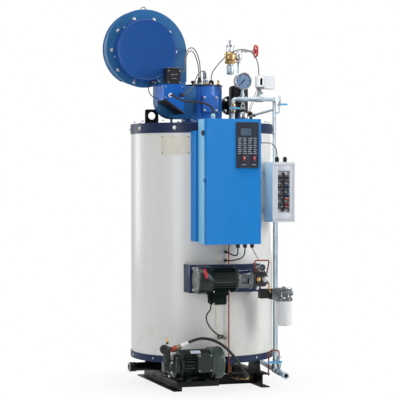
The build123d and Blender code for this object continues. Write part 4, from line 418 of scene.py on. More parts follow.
def aimed(at, along, turn=0.0):
    """Puts local +Z along a direction at a point, with local +X level where it can be."""
    along = Vector(along).normalized()
    side = UP.cross(along)
    side = RIGHT.copy() if side.length < TINY else side.normalized()
    basis = Matrix((side, along.cross(side), along)).transposed().to_4x4()
    return Matrix.Translation(at) @ basis @ Matrix.Rotation(turn, 4, "Z")


def tilted(turn):
    """The direction that is turned up from the front by an angle in degrees."""
    return FRONT * math.cos(math.radians(turn)) + UP * math.sin(math.radians(turn))


def spots(xs, ys, zs, along=FRONT):
    """Places where the given coordinates cross, facing along a direction."""
    return [aimed((x, y, z), along) for x in xs for y in ys for z in zs]


def around(centre, radius, count, start=0.0, along=UP):
    """Places on a bolt circle about a point, each facing along an axis. The start is in degrees."""
    base = aimed(centre, along)
    ring = circle(radius, count, math.radians(start))
    return [base @ Matrix.Translation((x, y, 0)) for x, y in ring]


def on_jacket(angle, height, radius):
    """A place on the jacket facing outwards. The angle runs from +X towards +Y."""
    out = Vector((math.cos(angle), math.sin(angle), 0))
    return aimed(out * radius + UP * height, out)


def circle(radius, sides=48, start=0.0, turn=WHOLE_TURN, centre=(0, 0)):
    """Points on an arc, for an outline."""
    steps = sides if turn == WHOLE_TURN else sides + 1
    angles = [start + turn / sides * step for step in range(steps)]
    return [(centre[0] + radius * math.cos(a), centre[1] + radius * math.sin(a)) for a in angles]


def rounded_outline(width, height, radius, steps=5):
    """A rectangle about the middle with round corners."""
    outline = []
    for corner, (x, y) in enumerate(((1, 1), (-1, 1), (-1, -1), (1, -1))):
        centre = (x * (width / 2 - radius), y * (height / 2 - radius))
        outline += circle(radius, steps, corner * math.pi / 2, math.pi / 2, centre)
    return outline


def merge(shape, other, place=None):
    """Takes another shape into a shape."""
    if place is not None:
        other.transform(place)
    loose = bpy.data.meshes.new("loose")
    other.to_mesh(loose)
    other.free()
    shape.from_mesh(loose)
    bpy.data.meshes.remove(loose)


def skin(shape, rings):
    """Closes the space between rings of points with faces. A ring of one point is a tip."""
    for lower, upper in zip(rings, rings[1:]):
        count = max(len(lower), len(upper))
        for here in range(count):
            after = (here + 1) % count
            corners = [lower[0]] if len(lower) == 1 else [lower[here], lower[after]]
            corners += [upper[0]] if len(upper) == 1 else [upper[after], upper[here]]
            if len(corners) > 2:
                shape.faces.new(corners)


def round_edges(shape, edge, segments=2, steeper=30):
    """Rounds the edges where faces meet at more than an angle, in degrees."""
    limit = math.radians(steeper)
    sharp = [e for e in shape.edges if len(e.link_faces) == 2 and e.calc_face_angle(0) > limit]
    if edge > 0 and sharp:
        bmesh.ops.bevel(
            shape, geom=sharp, offset=edge, offset_type="OFFSET", segments=segments, profile=0.5,
            affect="EDGES", clamp_overlap=True,
        )


def slab(low, high, edge, segments=2):
    """A box between two corners with rounded edges."""
    low, high = Vector(low), Vector(high)
    shape = bmesh.new()
    bmesh.ops.create_cube(shape, size=1)
    bmesh.ops.scale(shape, vec=high - low, verts=shape.verts)
    bmesh.ops.translate(shape, vec=(low + high) / 2, verts=shape.verts)
    round_edges(shape, min(edge, min(high - low) * 0.45), segments)
    return shape


def turned(profile, sides=48):
    """A shape turned about +Z from a profile of (radius, height) points."""
    shape = bmesh.new()
    rings = []
    for radius, height in profile:
        ring = circle(radius, sides) if radius > TINY else [(0, 0)]
        rings.append([shape.verts.new((x, y, height)) for x, y in ring])
    skin(shape, rings)
    return shape


def bar(radius, low, high, edge=1.0, sides=40):
    """A round bar along +Z with rounded rims."""
    edge = min(edge, radius * 0.5, (high - low) * 0.45)
    soft = edge * 0.3
    lower = [(0, low), (radius - edge, low), (radius - soft, low + soft), (radius, low + edge)]
    upper = [(radius, high - edge), (radius - soft, high - soft), (radius - edge, high), (0, high)]
    return turned(lower + upper, sides)


def prism(outline, depth, edge=0.0, segments=2):
    """An outline in local X and Y, extruded along +Z, with rounded rims."""
    shape = bmesh.new()
    face = shape.faces.new([shape.verts.new((x, y, 0)) for x, y in outline])
    made = bmesh.ops.extrude_face_region(shape, geom=[face])["geom"]
    raised = [part for part in made if isinstance(part, bmesh.types.BMVert)]
    bmesh.ops.translate(shape, vec=(0, 0, depth), verts=raised)
    bmesh.ops.recalc_face_normals(shape, faces=shape.faces)
    round_edges(shape, edge, segments)
    return shape


def hex_bolt(across, height, washer=True):
    """A hexagon head, on its washer where it has one, standing at the foot of local Z."""
    thick = sizes().washer / MM if washer else 0.0
    top = thick + height
    profile = [
        (0, thick), (across * 0.52, thick), (across * 0.577, thick + height * 0.12),
        (across * 0.577, thick + height * 0.8), (across * 0.48, top), (0, top),
    ]
    shape = turned(profile, 6)
    if washer:
        merge(shape, bar(across * 0.85, 0, thick, thick * 0.3, 24))
    return shape


def dome_screw(radius, height):
    """A low domed head with a round recess."""
    shares = ((0, 0), (1, 0), (0.97, 0.35), (0.8, 0.75), (0.45, 1), (0.3, 1), (0.12, 0.62), (0, 0.6))
    return turned([(radius * out, height * up) for out, up in shares], 16)


def tube(points, radius, sides=16, bend=math.inf):
    """A round bar through points, with round bends that start at most a bend's length away."""
    stops = [Vector(point) for point in points]
    line = [stops[0]]
    for before, here, after in zip(stops, stops[1:], stops[2:]):
        reach = min((here - before).length * 0.45, (after - here).length * 0.45, bend)
        start = here + (before - here).normalized() * reach
        end = here + (after - here).normalized() * reach
        for step in range(7):
            share = step / 6
            line.append(start.lerp(here, share).lerp(here.lerp(end, share), share))
    line.append(stops[-1])
    shape = bmesh.new()
    side = None
    rings = []
    for index, spot in enumerate(line):
        ahead = (line[min(index + 1, len(line) - 1)] - line[max(index - 1, 0)]).normalized()
        side = ahead.orthogonal() if side is None else side - ahead * side.dot(ahead)
        side.normalize()
        other = ahead.cross(side)
        rings.append([shape.verts.new(spot + (side * x + other * y) * radius) for x, y in circle(1, sides)])
    skin(shape, rings)
    shape.faces.new(list(reversed(rings[0])))
    shape.faces.new(rings[-1])
    return shape


def corners(node):
    """A CAD node's lowest and highest corners in millimetres."""
    low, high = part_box(node)
    return Vector(low) / MM, Vector(high) / MM


def above(limit):
    """A range without an upper end."""
    return limit, math.inf


def below(limit):
    """A range without a lower end."""
    return -math.inf, limit


def zone(look, x=ALL, y=ALL, z=ALL):
    """A finish and the box, in millimetres, of the faces that get it."""
    return look, (x[0], y[0], z[0]), (x[1], y[1], z[1])


class Piece:
    """One visible piece, built in millimetres: shapes with their finishes, gathered in one mesh."""

    SMOOTH = math.radians(35)

    def __init__(self, name, body=BOILER):
        self.name = name
        self.body = body
        self.mesh = bmesh.new()
        self.finishes = []
        self.nodes = []

    def index(self, look):
        """The number that a finish has on this piece."""
        if look not in self.finishes:
            self.finishes.append(look)
        return self.finishes.index(look)

    def add(self, shape, look, place=None):
        """Takes in a shape with its finish, put in its place."""
        index = self.index(look)
        for face in shape.faces:
            face.material_index = index
        merge(self.mesh, shape, place)
        return self

    def repeat(self, maker, size, places, look="bolt"):
        """Adds a fresh copy of a small shape at each place."""
        for place in places:
            self.add(maker(*size), look, place)
        return self

    def dress(self, node, edge, look, *zones, segments=2):
        """Takes in the form of the CAD node that it stands for, with rounded edges and its finishes."""
        shape = bmesh.new()
        shape.from_mesh(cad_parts[node].data)
        bmesh.ops.scale(shape, vec=(1 / MM, 1 / MM, 1 / MM), verts=shape.verts)
        bmesh.ops.remove_doubles(shape, verts=shape.verts, dist=0.002)
        bmesh.ops.dissolve_limit(shape, angle_limit=math.radians(0.6), verts=shape.verts, edges=shape.edges)
        round_edges(shape, edge, segments, 40)
        plain = self.index(look)
        zones = [(self.index(name), low, high) for name, low, high in zones]
        for face in shape.faces:
            middle = face.calc_center_median()
            face.material_index = plain
            for index, low, high in zones:
                if all(low[axis] <= middle[axis] <= high[axis] for axis in range(3)):
                    face.material_index = index
        merge(self.mesh, shape)
        self.nodes.append(node)
        return self

    def done(self, slot):
        """Makes the object, lets it ride on its body and stand for the CAD nodes that it dresses."""
        bmesh.ops.scale(self.mesh, vec=(MM, MM, MM), verts=self.mesh.verts)
        bmesh.ops.recalc_face_normals(self.mesh, faces=self.mesh.faces)
        data = bpy.data.meshes.new(self.name)
        self.mesh.to_mesh(data)
        self.mesh.free()
        for look in self.finishes:
            data.materials.append(finish(look))
        data.polygons.foreach_set("use_smooth", [True] * len(data.polygons))
        data.set_sharp_from_angle(angle=self.SMOOTH)
        piece = bpy.data.objects.new(self.name, data)
        bpy.context.scene.collection.objects.link(piece)
        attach(piece, self.body)
        if self.nodes:
            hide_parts(*self.nodes)


def area_lamp(name, at, target, size, power):
    """A soft rectangular lamp that faces a point."""
    data = bpy.data.lights.new(name, "AREA")
    data.shape = "RECTANGLE"
    data.size, data.size_y = size
    data.energy = power
    lamp = bpy.data.objects.new(name, data)
    bpy.context.scene.collection.objects.link(lamp)
    lamp.location = at
    lamp.rotation_euler = (Vector(target) - Vector(at)).to_track_quat("-Z", "Y").to_euler()
    return lamp


class BOILER_OT_stage(bpy.types.Operator):
    """Sets the pale floor, the studio lamps and the camera"""

    bl_idname = "boiler.stage"
    bl_label = "Stage"

    PIXELS = 400
    HORIZON_PIXEL = 175
    AXIS_PIXEL = 201.7
    SENSOR = 36.0
    FLOOR_REACH = 14
    UNDER_FEET = 0.0005
    GLOSSY_FLOOR = 0.35
    GLOSSY_ROOM = 0.28
    ROOM_LIGHT = (0.97, 0.985, 1.0, 1.0)
    SHADOW = 0.15
    SHADOW_FADE = (0.40, 0.90)

    def execute(self, context):
        self.add_floor()
        self.add_room(context)
        self.add_lamps()
        self.add_camera(context)
        context.scene.view_settings.view_transform = "Standard"
        return {"FINISHED"}

    def add_floor(self):
        shape = bmesh.new()
        bmesh.ops.create_grid(shape, x_segments=1, y_segments=1, size=self.FLOOR_REACH)
        data = bpy.data.meshes.new("floor")
        shape.to_mesh(data)
        shape.free()
        floor = bpy.data.objects.new("floor", data)
        floor.location.z = -self.UNDER_FEET
        bpy.context.scene.collection.objects.link(floor)
        shader = Shader("studio_floor", srgb(236, 236, 236), 0.62)
        shader.set("Base Color", shader.mix(srgb(232, 232, 232), srgb(240, 240, 240), shader.noise(1.5)))
        away = shader.node("ShaderNodeVectorMath", {"operation": "LENGTH"}, {0: shader.place()})
        clear = Value(shader, away.outputs["Value"]).between(*self.SHADOW_FADE)
        shown = shader.rays("Is Camera Ray") * (clear * self.SHADOW + (1 - self.SHADOW))
        mirrored = shader.rays("Is Glossy Ray") * self.GLOSSY_FLOOR
        white = shader.node("ShaderNodeEmission", None, {"Color": WHITE, "Strength": 1.0})
        sides = {0: shown + mirrored, 1: shader.surface.outputs["BSDF"], 2: white.outputs["Emission"]}
        blend = shader.node("ShaderNodeMixShader", None, sides)
        shader.fill(shader.tree.nodes["Material Output"].inputs["Surface"], blend.outputs["Shader"])
        data.materials.append(shader.material)

    def add_room(self, context):
        """White where the camera, metal and glass see it, and a plain level of light elsewhere."""
        world = bpy.data.worlds.new("studio_room")
        context.scene.world = world
        world.use_nodes = True
        room = Nodes(world.node_tree)
        plain = room.tree.nodes["Background"]
        room.fill(plain.inputs["Color"], self.ROOM_LIGHT)
        room.fill(plain.inputs["Strength"], studio().ambient)
        white = room.node("ShaderNodeBackground", None, {"Color": WHITE, "Strength": 1.0})
        direct = room.rays("Is Camera Ray")
        clear = direct.maths("MAXIMUM", direct, room.rays("Is Transmission Ray"))
        share = clear.maths("MULTIPLY_ADD", room.rays("Is Glossy Ray"), self.GLOSSY_ROOM, clear, clamp=True)
        sides = {0: share, 1: plain.outputs[0], 2: white.outputs[0]}
        blend = room.node("ShaderNodeMixShader", None, sides)
        room.fill(room.tree.nodes["World Output"].inputs["Surface"], blend.outputs[0])

    def add_lamps(self):
        heart = (0, 0, 1.1)
        area_lamp("key_lamp", (4.1, -2.7, 2.3), heart, (1.6, 3.4), studio().key)
        area_lamp("fill_lamp", (-3.6, -2.4, 1.7), heart, (1.2, 3.2), studio().fill)
        area_lamp("top_lamp", (-0.3, -0.6, 4.6), (0, 0, 1.5), (3.0, 2.2), studio().top)
        area_lamp("rear_lamp_right", (2.8, 3.4, 2.0), heart, (1.4, 3.0), studio().rear)
        area_lamp("rear_lamp_left", (-2.8, 3.4, 2.0), heart, (1.4, 3.0), studio().rear)

    def add_camera(self, context):
        view = studio()
        data = bpy.data.cameras.new("camera")
        data.lens = view.lens
        data.sensor_width = self.SENSOR
        pixels = self.PIXELS * view.lens / self.SENSOR
        pitch = math.atan((self.PIXELS / 2 - self.HORIZON_PIXEL) / pixels)
        yaw = math.atan((self.AXIS_PIXEL - self.PIXELS / 2) / pixels)
        camera = bpy.data.objects.new("camera", data)
        reach = -view.distance
        camera.location = (math.sin(view.turn) * reach, math.cos(view.turn) * reach, view.height)
        camera.rotation_euler = (math.pi / 2 - pitch, 0, yaw - view.turn)
        context.scene.collection.objects.link(camera)
        context.scene.camera = camera


CORDS = {
    "feed_hose": (
        16, 0.475, "rubber", "rubber", "stiff",
        [
            (-255, -525, 293), (-207, -525, 312), (-158, -532, 315), (-108, -545, 302), (-60, -556, 275),
            (-15, -556, 232), (28, -544, 184), (66, -526, 138), (90, -500, 108), (108, -488, 86),
        ],
    ),
    "damper_conduit": (
        12, 0.351, "rubber", "rubber", "medium",
        [
            (-276, -276, 1672), (-276, -312, 1672), (-258, -352, 1648), (-222, -390, 1630),
            (-183, -430, 1629), (-148, -475, 1622), (-122, -512, 1606), (-111, -530, 1582),
            (-111, -530, 1560),
        ],
    ),
    "sensor_cable": (
        6, 0.428, "cable", "cable_grey", "medium",
        [
            (-207, -276, 1675), (-207, -298, 1675), (-182, -304, 1692), (-150, -276, 1716),
            (-122, -235, 1748), (-90, -180, 1790), (-44, -112, 1822), (-2, -62, 1828), (10, -50, 1808),
            (10, -50, 1784),
        ],
    ),
    "ignition_cable_a": (
        6, 0.403, "cable", "cable_grey", "medium",
        [
            (-34, -50, 1792), (-34, -50, 1842), (-50, -58, 1898), (-80, -78, 1945), (-120, -115, 1938),
            (-148, -150, 1892), (-166, -184, 1838), (-178, -196, 1806), (-206, -196, 1806),
        ],
    ),
    "ignition_cable_b": (
        6, 0.455, "cable", "cable_grey", "medium",
        [
            (-25, -50, 1792), (-25, -50, 1846), (-38, -58, 1908), (-72, -80, 1962), (-122, -122, 1956),
            (-158, -170, 1908), (-172, -208, 1846), (-180, -226, 1806), (-206, -226, 1806),
        ],
    ),
    "switch_cable": (
        6, 0.482, "cable", "cable_grey", "medium",
        [
            (290, -186, 1796), (290, -186, 1834), (284, -180, 1881), (272, -170, 1917), (245, -160, 1945),
            (208, -140, 1957), (168, -130, 1950), (132, -110, 1927), (96, -90, 1895), (66, -68, 1855),
            (42, -50, 1812), (42, -50, 1782),
        ],
    ),
    "motor_cable_a": (
        7, 0.137, "rubber", "rubber", "medium",
        [
            (36, -530, 812), (36, -530, 788), (38, -508, 768), (24, -474, 770), (0, -454, 786),
            (0, -434, 786),
        ],
    ),
    "motor_cable_b": (
        7, 0.176, "rubber", "rubber", "medium",
        [
            (78, -530, 812), (78, -530, 782), (74, -500, 756), (48, -470, 742), (0, -466, 738),
            (0, -434, 738),
        ],
    ),
    "pump_cable": (
        8, 0.30, "rubber", "rubber", "medium",
        [
            (-130, -552, 503), (-130, -552, 476), (-156, -544, 446), (-146, -522, 404), (-112, -492, 364),
            (-70, -466, 328), (-20, -458, 310), (-20, -434, 310),
        ],
    ),
    "box_cable": (
        6, 0.245, "cable", "cable_grey", "medium",
        [
            (171, -520, 1400), (200, -520, 1400), (240, -488, 1402), (284, -440, 1390), (324, -390, 1364),
            (324, -390, 1324),
        ],
    ),
}


def smooth_line(name, route):
    """A NURBS spline with the route's points, in metres, as its control points."""
    data = bpy.data.curves.new(name, "CURVE")
    data.dimensions = "3D"
    line = data.splines.new("NURBS")
    line.points.add(len(route) - 1)
    for point, (x, y, z) in zip(line.points, route):
        point.co = (x * MM, y * MM, z * MM, 1)
    line.order_u = 3
    line.use_endpoint_u = True
    line.resolution_u = 12
    return data


class BOILER_OT_cords(bpy.types.Operator):
    """Lays the water hose, the conduit and the cables along their routes"""

    bl_idname = "boiler.cords"
    bl_label = "Hose and cables"

    def execute(self, context):
        for name, (diameter, length, look, slot, stiffness, route) in CORDS.items():
            data = smooth_line(name + "_line", route)
            data.bevel_depth = diameter * MM / 2
            data.bevel_resolution = 5
            data.use_fill_caps = True
            data.materials.append(finish(look))
            cord = bpy.data.objects.new(name + "_line", data)
            context.scene.collection.objects.link(cord)
            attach(cord, BOILER)
            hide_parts(name)
        return {"FINISHED"}


class BOILER_OT_jacket(bpy.types.Operator):
    """Puts the bolts, the rivets, the bare nameplate and the patch bracket on the jacket"""

    bl_idname = "boiler.jacket"
    bl_label = "Jacket"

    JACKET = 416
    BAND = 420
    TOP_BAND_HEIGHT = 1488
    LOW_BAND_HEIGHT = 174
    PLATE = (math.radians(-142.1), math.radians(-117.6), 1338, 1443)
    PLATE_INSET = math.radians(1.2)
    BRACKET_LOOP = [(-28, -424, 304), (-16, -430, 296), (-2, -428, 296), (6, -421, 302)]
    RIVET_COLUMN = -43
    RIVET_HEIGHTS = (358, 420, 545, 612, 680, 736, 775, 798)

    def execute(self, context):
        bolts = Piece("band_bolts")
        turns = [math.radians(36 * step - 166) for step in range(10)]
        places = [on_jacket(turn, self.TOP_BAND_HEIGHT, self.BAND) for turn in turns]
        bolts.repeat(hex_bolt, (sizes().bolt / MM, 7), places)
        turns = [math.radians(30 * step - 150) for step in range(12)]
        places = [on_jacket(turn, self.LOW_BAND_HEIGHT, self.BAND) for turn in turns]
        bolts.repeat(dome_screw, (5, 2.4), places)
        bolts.done("galvanised")
        start, end, low, high = self.PLATE
        plate = Piece("bare_nameplate")
        plate.add(self.wrapped(start, end, low, high, self.JACKET - 0.2, 1.6), "plate")
        turns = (start + self.PLATE_INSET, end - self.PLATE_INSET)
        places = [on_jacket(turn, z, self.JACKET + 1.3) for turn in turns for z in (low + 7, high - 7)]
        plate.repeat(dome_screw, (3.6, 2.0), places, "ink")
        plate.done("jacket_paint")
        rivets = Piece("seam_rivets")
        radius = self.JACKET + 2.2
        heads = [(self.RIVET_COLUMN, z) for z in self.RIVET_HEIGHTS]
        heads += [(x, z) for x in (-38, 7) for z in (258, 322)]
        places = [on_jacket(-math.acos(x / radius), z, radius) for x, z in heads]
        rivets.repeat(bar, (sizes().rivet / MM, 0, 1.8, 1.2, 14), places)
        rivets.done("galvanised")
        bracket = Piece("patch_bracket").add(slab((-46, -428, 296), (-24, -418.5, 318), 1.5), "dark")
        bracket.add(hex_bolt(8, 4, False), "bolt", aimed((-35, -428, 307), FRONT))
        bracket.add(tube(self.BRACKET_LOOP, 2.0, 10), "dark").done("black_plastic")
        return {"FINISHED"}

    def wrapped(self, start, end, low, high, radius, thick, steps=16):
        """A thin plate bent to the jacket between two angles and two heights."""
        shape = bmesh.new()
        section = ((radius, low), (radius + thick, low), (radius + thick, high), (radius, high))
        rings = []
        for step in range(steps + 1):
            angle = start + (end - start) * step / steps
            across, along = math.cos(angle), math.sin(angle)
            ring = [(reach * across, reach * along, height) for reach, height in section]
            rings.append([shape.verts.new(spot) for spot in ring])
        skin(shape, rings)
        shape.faces.new(rings[0])
        shape.faces.new(list(reversed(rings[-1])))
        bmesh.ops.recalc_face_normals(shape, faces=shape.faces)
        return shape


class BOILER_OT_steelwork(bpy.types.Operator):
    """Softens the edges of the skids, the lifting lugs, the base plates and the top cover"""

    bl_idname = "boiler.steelwork"
    bl_label = "Skids, lugs and top cover"

    EDGES = {"base_skids": 1.6, "lifting_lugs": 2.0, "base_plate": 1.5, "feed_base": 1.5}

    def execute(self, context):
        for node, edge in self.EDGES.items():
            Piece(node + "_steel").dress(node, edge, "black").done("black_paint")
        cover = Piece("top_cover_sheet").dress("top_cover", 1.5, "navy")
        cover.repeat(hex_bolt, (10, 5), around((0, 0, 1527), 396, 14, 12)).done("navy_paint")
        return {"FINISHED"}


class BOILER_OT_drum(bpy.types.Operator):
    """Dresses the burner drum, its lid, its inspection plate and the fittings on top"""

    bl_idname = "boiler.drum"
    bl_label = "Burner drum"

    DRUM_FOOT = Vector((0, 0, 1529))
    LID_TOP = Vector((0, 0, 1748))
    FITTING_SPOT = Vector((22, 12, 1748))
    FITTING = [
        (0, 12), (9, 12), (10.5, 14), (10.5, 46), (12, 48), (12, 82), (10, 88), (6, 92), (6, 98), (0, 98),
    ]

    def execute(self, context):
        drum = Piece("drum_shell").dress("burner_drum", 1.2, "drum")
        drum.repeat(hex_bolt, (12, 7), around(self.DRUM_FOOT, 138, 10, 18)).done("blue_paint")
        lid = Piece("drum_lid_plate").dress("drum_lid", 1.5, "lid")
        lid.repeat(hex_bolt, (10, 6), around(self.LID_TOP, 110, 8, 10)).done("dark_steel")
        plate = Piece("inspection_cover").dress("inspection_plate", 1.6, "drum")
        plate.repeat(self.dome_nut, (), spots((-29, 45), (-134,), (1595, 1669))).done("blue_paint")
        fittings = Piece("lid_fittings").dress(
            "burner_fittings", 0.8, "brass",
            zone("dark", (-90, -55), (-80, -42)),
            zone("dark", (-48, -12), (-70, -30), above(1764)),
            zone("zinc", (-48, -12), (-70, -30), below(1764)),
            zone("zinc", (-6, 27), (-68, -32), above(1758)),
            zone("dark", (28.5, 55.5), (-64, -36), (1752, 1778)),
        )
        foot = aimed(self.FITTING_SPOT, UP)
        fittings.add(hex_bolt(22, 12, False), "brass", foot).add(turned(self.FITTING, 32), "zinc", foot)
        fittings.done("brass")
        return {"FINISHED"}

    def dome_nut(self):
        """A capped nut on a washer."""
        shape = bar(8.5, 0, 1.2, 0.4, 24)
        merge(shape, turned([(0, 1.2), (6.4, 1.2), (7.2, 2.0), (7.2, 5.4), (6.0, 6.2), (0, 6.2)], 6))
        merge(shape, turned([(5.6, 6.0), (5.5, 7.6), (4.8, 9.4), (3.2, 10.8), (1.4, 11.4), (0, 11.5)], 20))
        return shape


class BOILER_OT_fan(bpy.types.Operator):
    """Dresses the fan casing, its bolted flange, the inlet cover, the duct and the fan motor"""

    bl_idname = "boiler.fan"
    bl_label = "Fan"

    FACE = Vector((-386, -106, 1933))
    KNOB = [(0, 0), (5, 0), (5, 6), (12, 7), (13, 9), (13, 16), (11, 18), (4, 18.5), (0, 18.5)]
    ROD = [
        (-345, -116, 1752), (-362, -120, 1738), (-364, -124, 1700), (-350, -140, 1672), (-312, -170, 1652),
    ]
    CLIP = [(-292, -107, 1784), (-304, -114, 1778), (-304, -117, 1762), (-290, -116, 1755)]

    def execute(self, context):
        casing = Piece("fan_scroll").dress(
            "fan_casing", 1.2, "fan", zone("gunmetal", (-400, -350), z=above(2158))
        )
        casing.done("blue_paint")
        flange = Piece("fan_flange_ring").dress("fan_flange", 1.2, "fan")
        flange.repeat(hex_bolt, (13, 7), around(self.FACE, 190, 10, 180, FRONT)).done("blue_paint")
        cover = Piece("fan_inlet_drum").dress("fan_inlet_cover", 3.0, "cover", segments=3)
        cover.repeat(dome_screw, (4.0, 2.2), around(self.FACE + FRONT * 3, 176, 6, 12, FRONT))
        cover.done("blue_paint")
        Piece("fan_duct").dress("fan_outlet_duct", 1.2, "fan").done("blue_paint")
        knob = Piece("damper_knob").add(turned(self.KNOB, 32), "dark", aimed((-339, -106, 1755), FRONT))
        knob.add(bar(3.4, 0, 1.2, 0.5, 20), "white", aimed((-339, -124, 1755), FRONT))
        knob.add(tube(self.ROD, 2.6, 12, 22), "dark").done("black_plastic")
        Piece("duct_clip").add(tube(self.CLIP, 2.8, 12), "white").done("galvanised")
        low, high = corners("fan_motor")
        motor = Piece("fan_motor_casting").dress(
            "fan_motor", 0.8, "motor", zone("motor_cover", y=(150, high.y), z=(low.z, high.z - 40))
        )
        motor.done("motor_paint")
        return {"FINISHED"}


class BOILER_OT_damper(bpy.types.Operator):
    """Dresses the damper box under the fan and the ignition transformer on it"""

    bl_idname = "boiler.damper"
    bl_label = "Damper box and transformer"

    FACE = -260
    LEFT, RIGHT_SIDE = -313, -193
    DASHES = ((-270, 1790), (-256, 1790), (-242, 1790), (-264, 1768), (-248, 1768))

    def execute(self, context):
        # Painted shade: the sloped underside of the box gets the dark finish where shade falls
        box = Piece("damper_housing").dress(
            "damper_box", 1.2, "damper", zone("dark", (-300, -205), (-240, -118), (1560, 1625))
        )
        # Painted shade: a dark strip along the box's sloped lower front edge stands in for the shade under
        # the box
        slope = Matrix.Rotation(math.atan2(1646 - 1568, 120), 4, "Y")
        painted_shade_strip = slab((0, -1.6, -9), (142, 1.6, 3), 0.8)
        box.add(painted_shade_strip, "dark", Matrix.Translation((-312, -261, 1652)) @ slope)
        box.repeat(dome_screw, (3.6, 2.0), spots((-302, -204), (self.FACE,), (1722, 1660)))
        for y in (-232, -180, -128):
            box.add(dome_screw(3.6, 2.0), "bolt", aimed((self.LEFT, y, 1720), -RIGHT))
            box.add(dome_screw(3.6, 2.0), "bolt", aimed((self.RIGHT_SIDE, y, 1720), RIGHT))
        box.done("blue_paint")
        coil = Piece("transformer_case").dress(
            "ignition_transformer", 1.0, "dark",
            zone("white", (-294, -209), (-262, -173), above(1826)),
            zone("brass", above(-211.5), (-240, -180), (1790, 1822)),
        )
        coil.repeat(dome_screw, (3.2, 2.0), spots((-286, -218), (self.FACE,), (1746, 1812)))
        for x, z in self.DASHES:
            coil.add(slab((x, self.FACE - 0.9, z), (x + 9, self.FACE + 0.2, z + 2), 0.2, 1), "print")
        coil.done("black_plastic")
        return {"FINISHED"}


class BOILER_OT_steam(bpy.types.Operator):
    """Dresses the steam column, the safety valve with its hand wheel, and the relief cup"""

    bl_idname = "boiler.steam"
    bl_label = "Steam column and safety valve"

    WHEEL_AXIS = Vector((0, 0, 1958))
    STEM = [(9, 20), (9, 26), (6, 28), (6, 92), (3.4, 94), (3.4, 112), (0, 112)]
    HUB = [(0, 0), (8, 0), (9, 1), (9, 11), (7, 12), (0, 12)]

    def execute(self, context):
        column = Piece("steam_pipe").dress("steam_column", 1.2, "black")
        column.repeat(hex_bolt, (13, 7), around((231, 150, 1640), 46, 4, 45, FRONT)).done("black_paint")
        riser = Piece("valve_riser")
        riser.dress("safety_valve_riser", 0.8, "zinc", zone("steel", z=above(1880))).done("galvanised")
        top = corners("safety_valve_body")[1].z
        body = Piece("valve_brasswork")
        body.dress("safety_valve_body", 0.9, "brass", zone("steel", z=(1962, top))).done("brass")
        Piece("relief_cup").dress("safety_valve_outlet", 0.9, "zinc").done("galvanised")
        stem, nut, rim, cap = [aimed(self.WHEEL_AXIS + RIGHT * x, RIGHT) for x in (231, 274, 334, 344)]
        wheel = Piece("vent_wheel").add(turned(self.STEM, 24), "steel", stem)
        wheel.add(hex_bolt(19, 10, False), "steel", nut)
        wheel.add(self.wheel(), "red", rim)
        wheel.add(hex_bolt(8, 5), "bolt", cap).done("polished_steel")
        return {"FINISHED"}

    def wheel(self):
        """A small hand wheel with a rim of five lobes and five arms."""
        rim = []
        for step in range(60):
            angle = WHOLE_TURN * step / 60
            reach = 34.5 + 2.6 * math.cos(5 * angle)
            rim.append((reach * math.cos(angle), reach * math.sin(angle), 6))
        shape = tube([*rim, rim[0]], 5.2, 14)
        merge(shape, turned(self.HUB, 24))
        for arm in range(5):
            spoke = prism([(5, -4), (33, -2.8), (33, 2.8), (5, 4)], 5, 1.2)
            turn = Matrix.Rotation(math.radians(36 + 72 * arm), 4, "Z")
            merge(shape, spoke, turn @ Matrix.Translation((0, 0, 3.5)))
        return shape


class BOILER_OT_gauge(bpy.types.Operator):
    """Dresses the pressure gauge: bezel, dial with plain ticks and numbers, pointer and glass"""

    bl_idname = "boiler.gauge"
    bl_label = "Pressure gauge"

    DIAL_CENTRE = Vector((196, -180.9, 1767))
    DIAL = 44
    ZERO = math.radians(225)
    SWEEP = math.radians(270)
    SPANS = 20
    POINTER = [(-15, -3.2), (10, -2.6), (37, -1.0), (37, 1.0), (10, 2.6), (-15, 3.2)]

    def execute(self, context):
        Piece("gauge_case").dress("pressure_gauge", 0.8, "steel").done("polished_steel")
        flat = aimed(self.DIAL_CENTRE, FRONT)
        dial = Piece("gauge_dial").add(bar(self.DIAL - 0.3, 0, 0.8, 0.2, 72), "dial", flat)
        for span in range(self.SPANS + 1):
            long = span % 4 == 0
            start, half = (33.0, 1.5) if long else (37.0, 0.7)
            angle = self.ZERO - self.SWEEP * span / self.SPANS
            tick = slab((start, -half, 0.8), (42, half, 1.2), 0.1, 1)
            dial.add(tick, "ink", flat @ Matrix.Rotation(angle, 4, "Z"))
            if long:
                spot = Matrix.Translation((25.5 * math.cos(angle), 25.5 * math.sin(angle), 0.8))
                dial.add(self.number(str(span // 4 * 4)), "ink", flat @ spot)
        for look, start, end in (("red", 100, 45), ("green", 150, 120)):
            dial.add(self.arc(math.radians(start), math.radians(end), 39.5, 42), look, flat)
        rest = Matrix.Translation((0, 0, 2.2)) @ Matrix.Rotation(self.ZERO, 4, "Z")
        dial.add(prism(self.POINTER, 1.0, 0.2, 1), "ink", flat @ rest)
        dial.add(bar(4.6, 0.8, 4.0, 0.6, 28), "ink", flat).done("polished_steel")
        glass = bar(self.DIAL + 0.4, 4.4, 5.0, 0.2, 64)
        Piece("gauge_glass").add(glass, "glass", flat).done("polished_steel")
        return {"FINISHED"}

    def arc(self, start, end, inner, outer):
        """A flat coloured band along the dial's rim."""
        outline = circle(outer, 24, end, start - end) + list(reversed(circle(inner, 24, end, start - end)))
        shape = prism(outline, 0.4)
        bmesh.ops.translate(shape, vec=(0, 0, 0.8), verts=shape.verts)
        return shape

    def number(self, digits):
        """A plain number in raised strokes."""
        font = bpy.data.curves.new("digits", "FONT")
        font.body = digits
        font.size = 10.0
        font.align_x = "CENTER"
        font.align_y = "CENTER"
        font.extrude = 0.15
        made = bpy.data.objects.new("digits", font)
        shape = bmesh.new()
        shape.from_mesh(made.to_mesh())
        made.to_mesh_clear()
        bpy.data.objects.remove(made)
        bpy.data.curves.remove(font)
        return shape


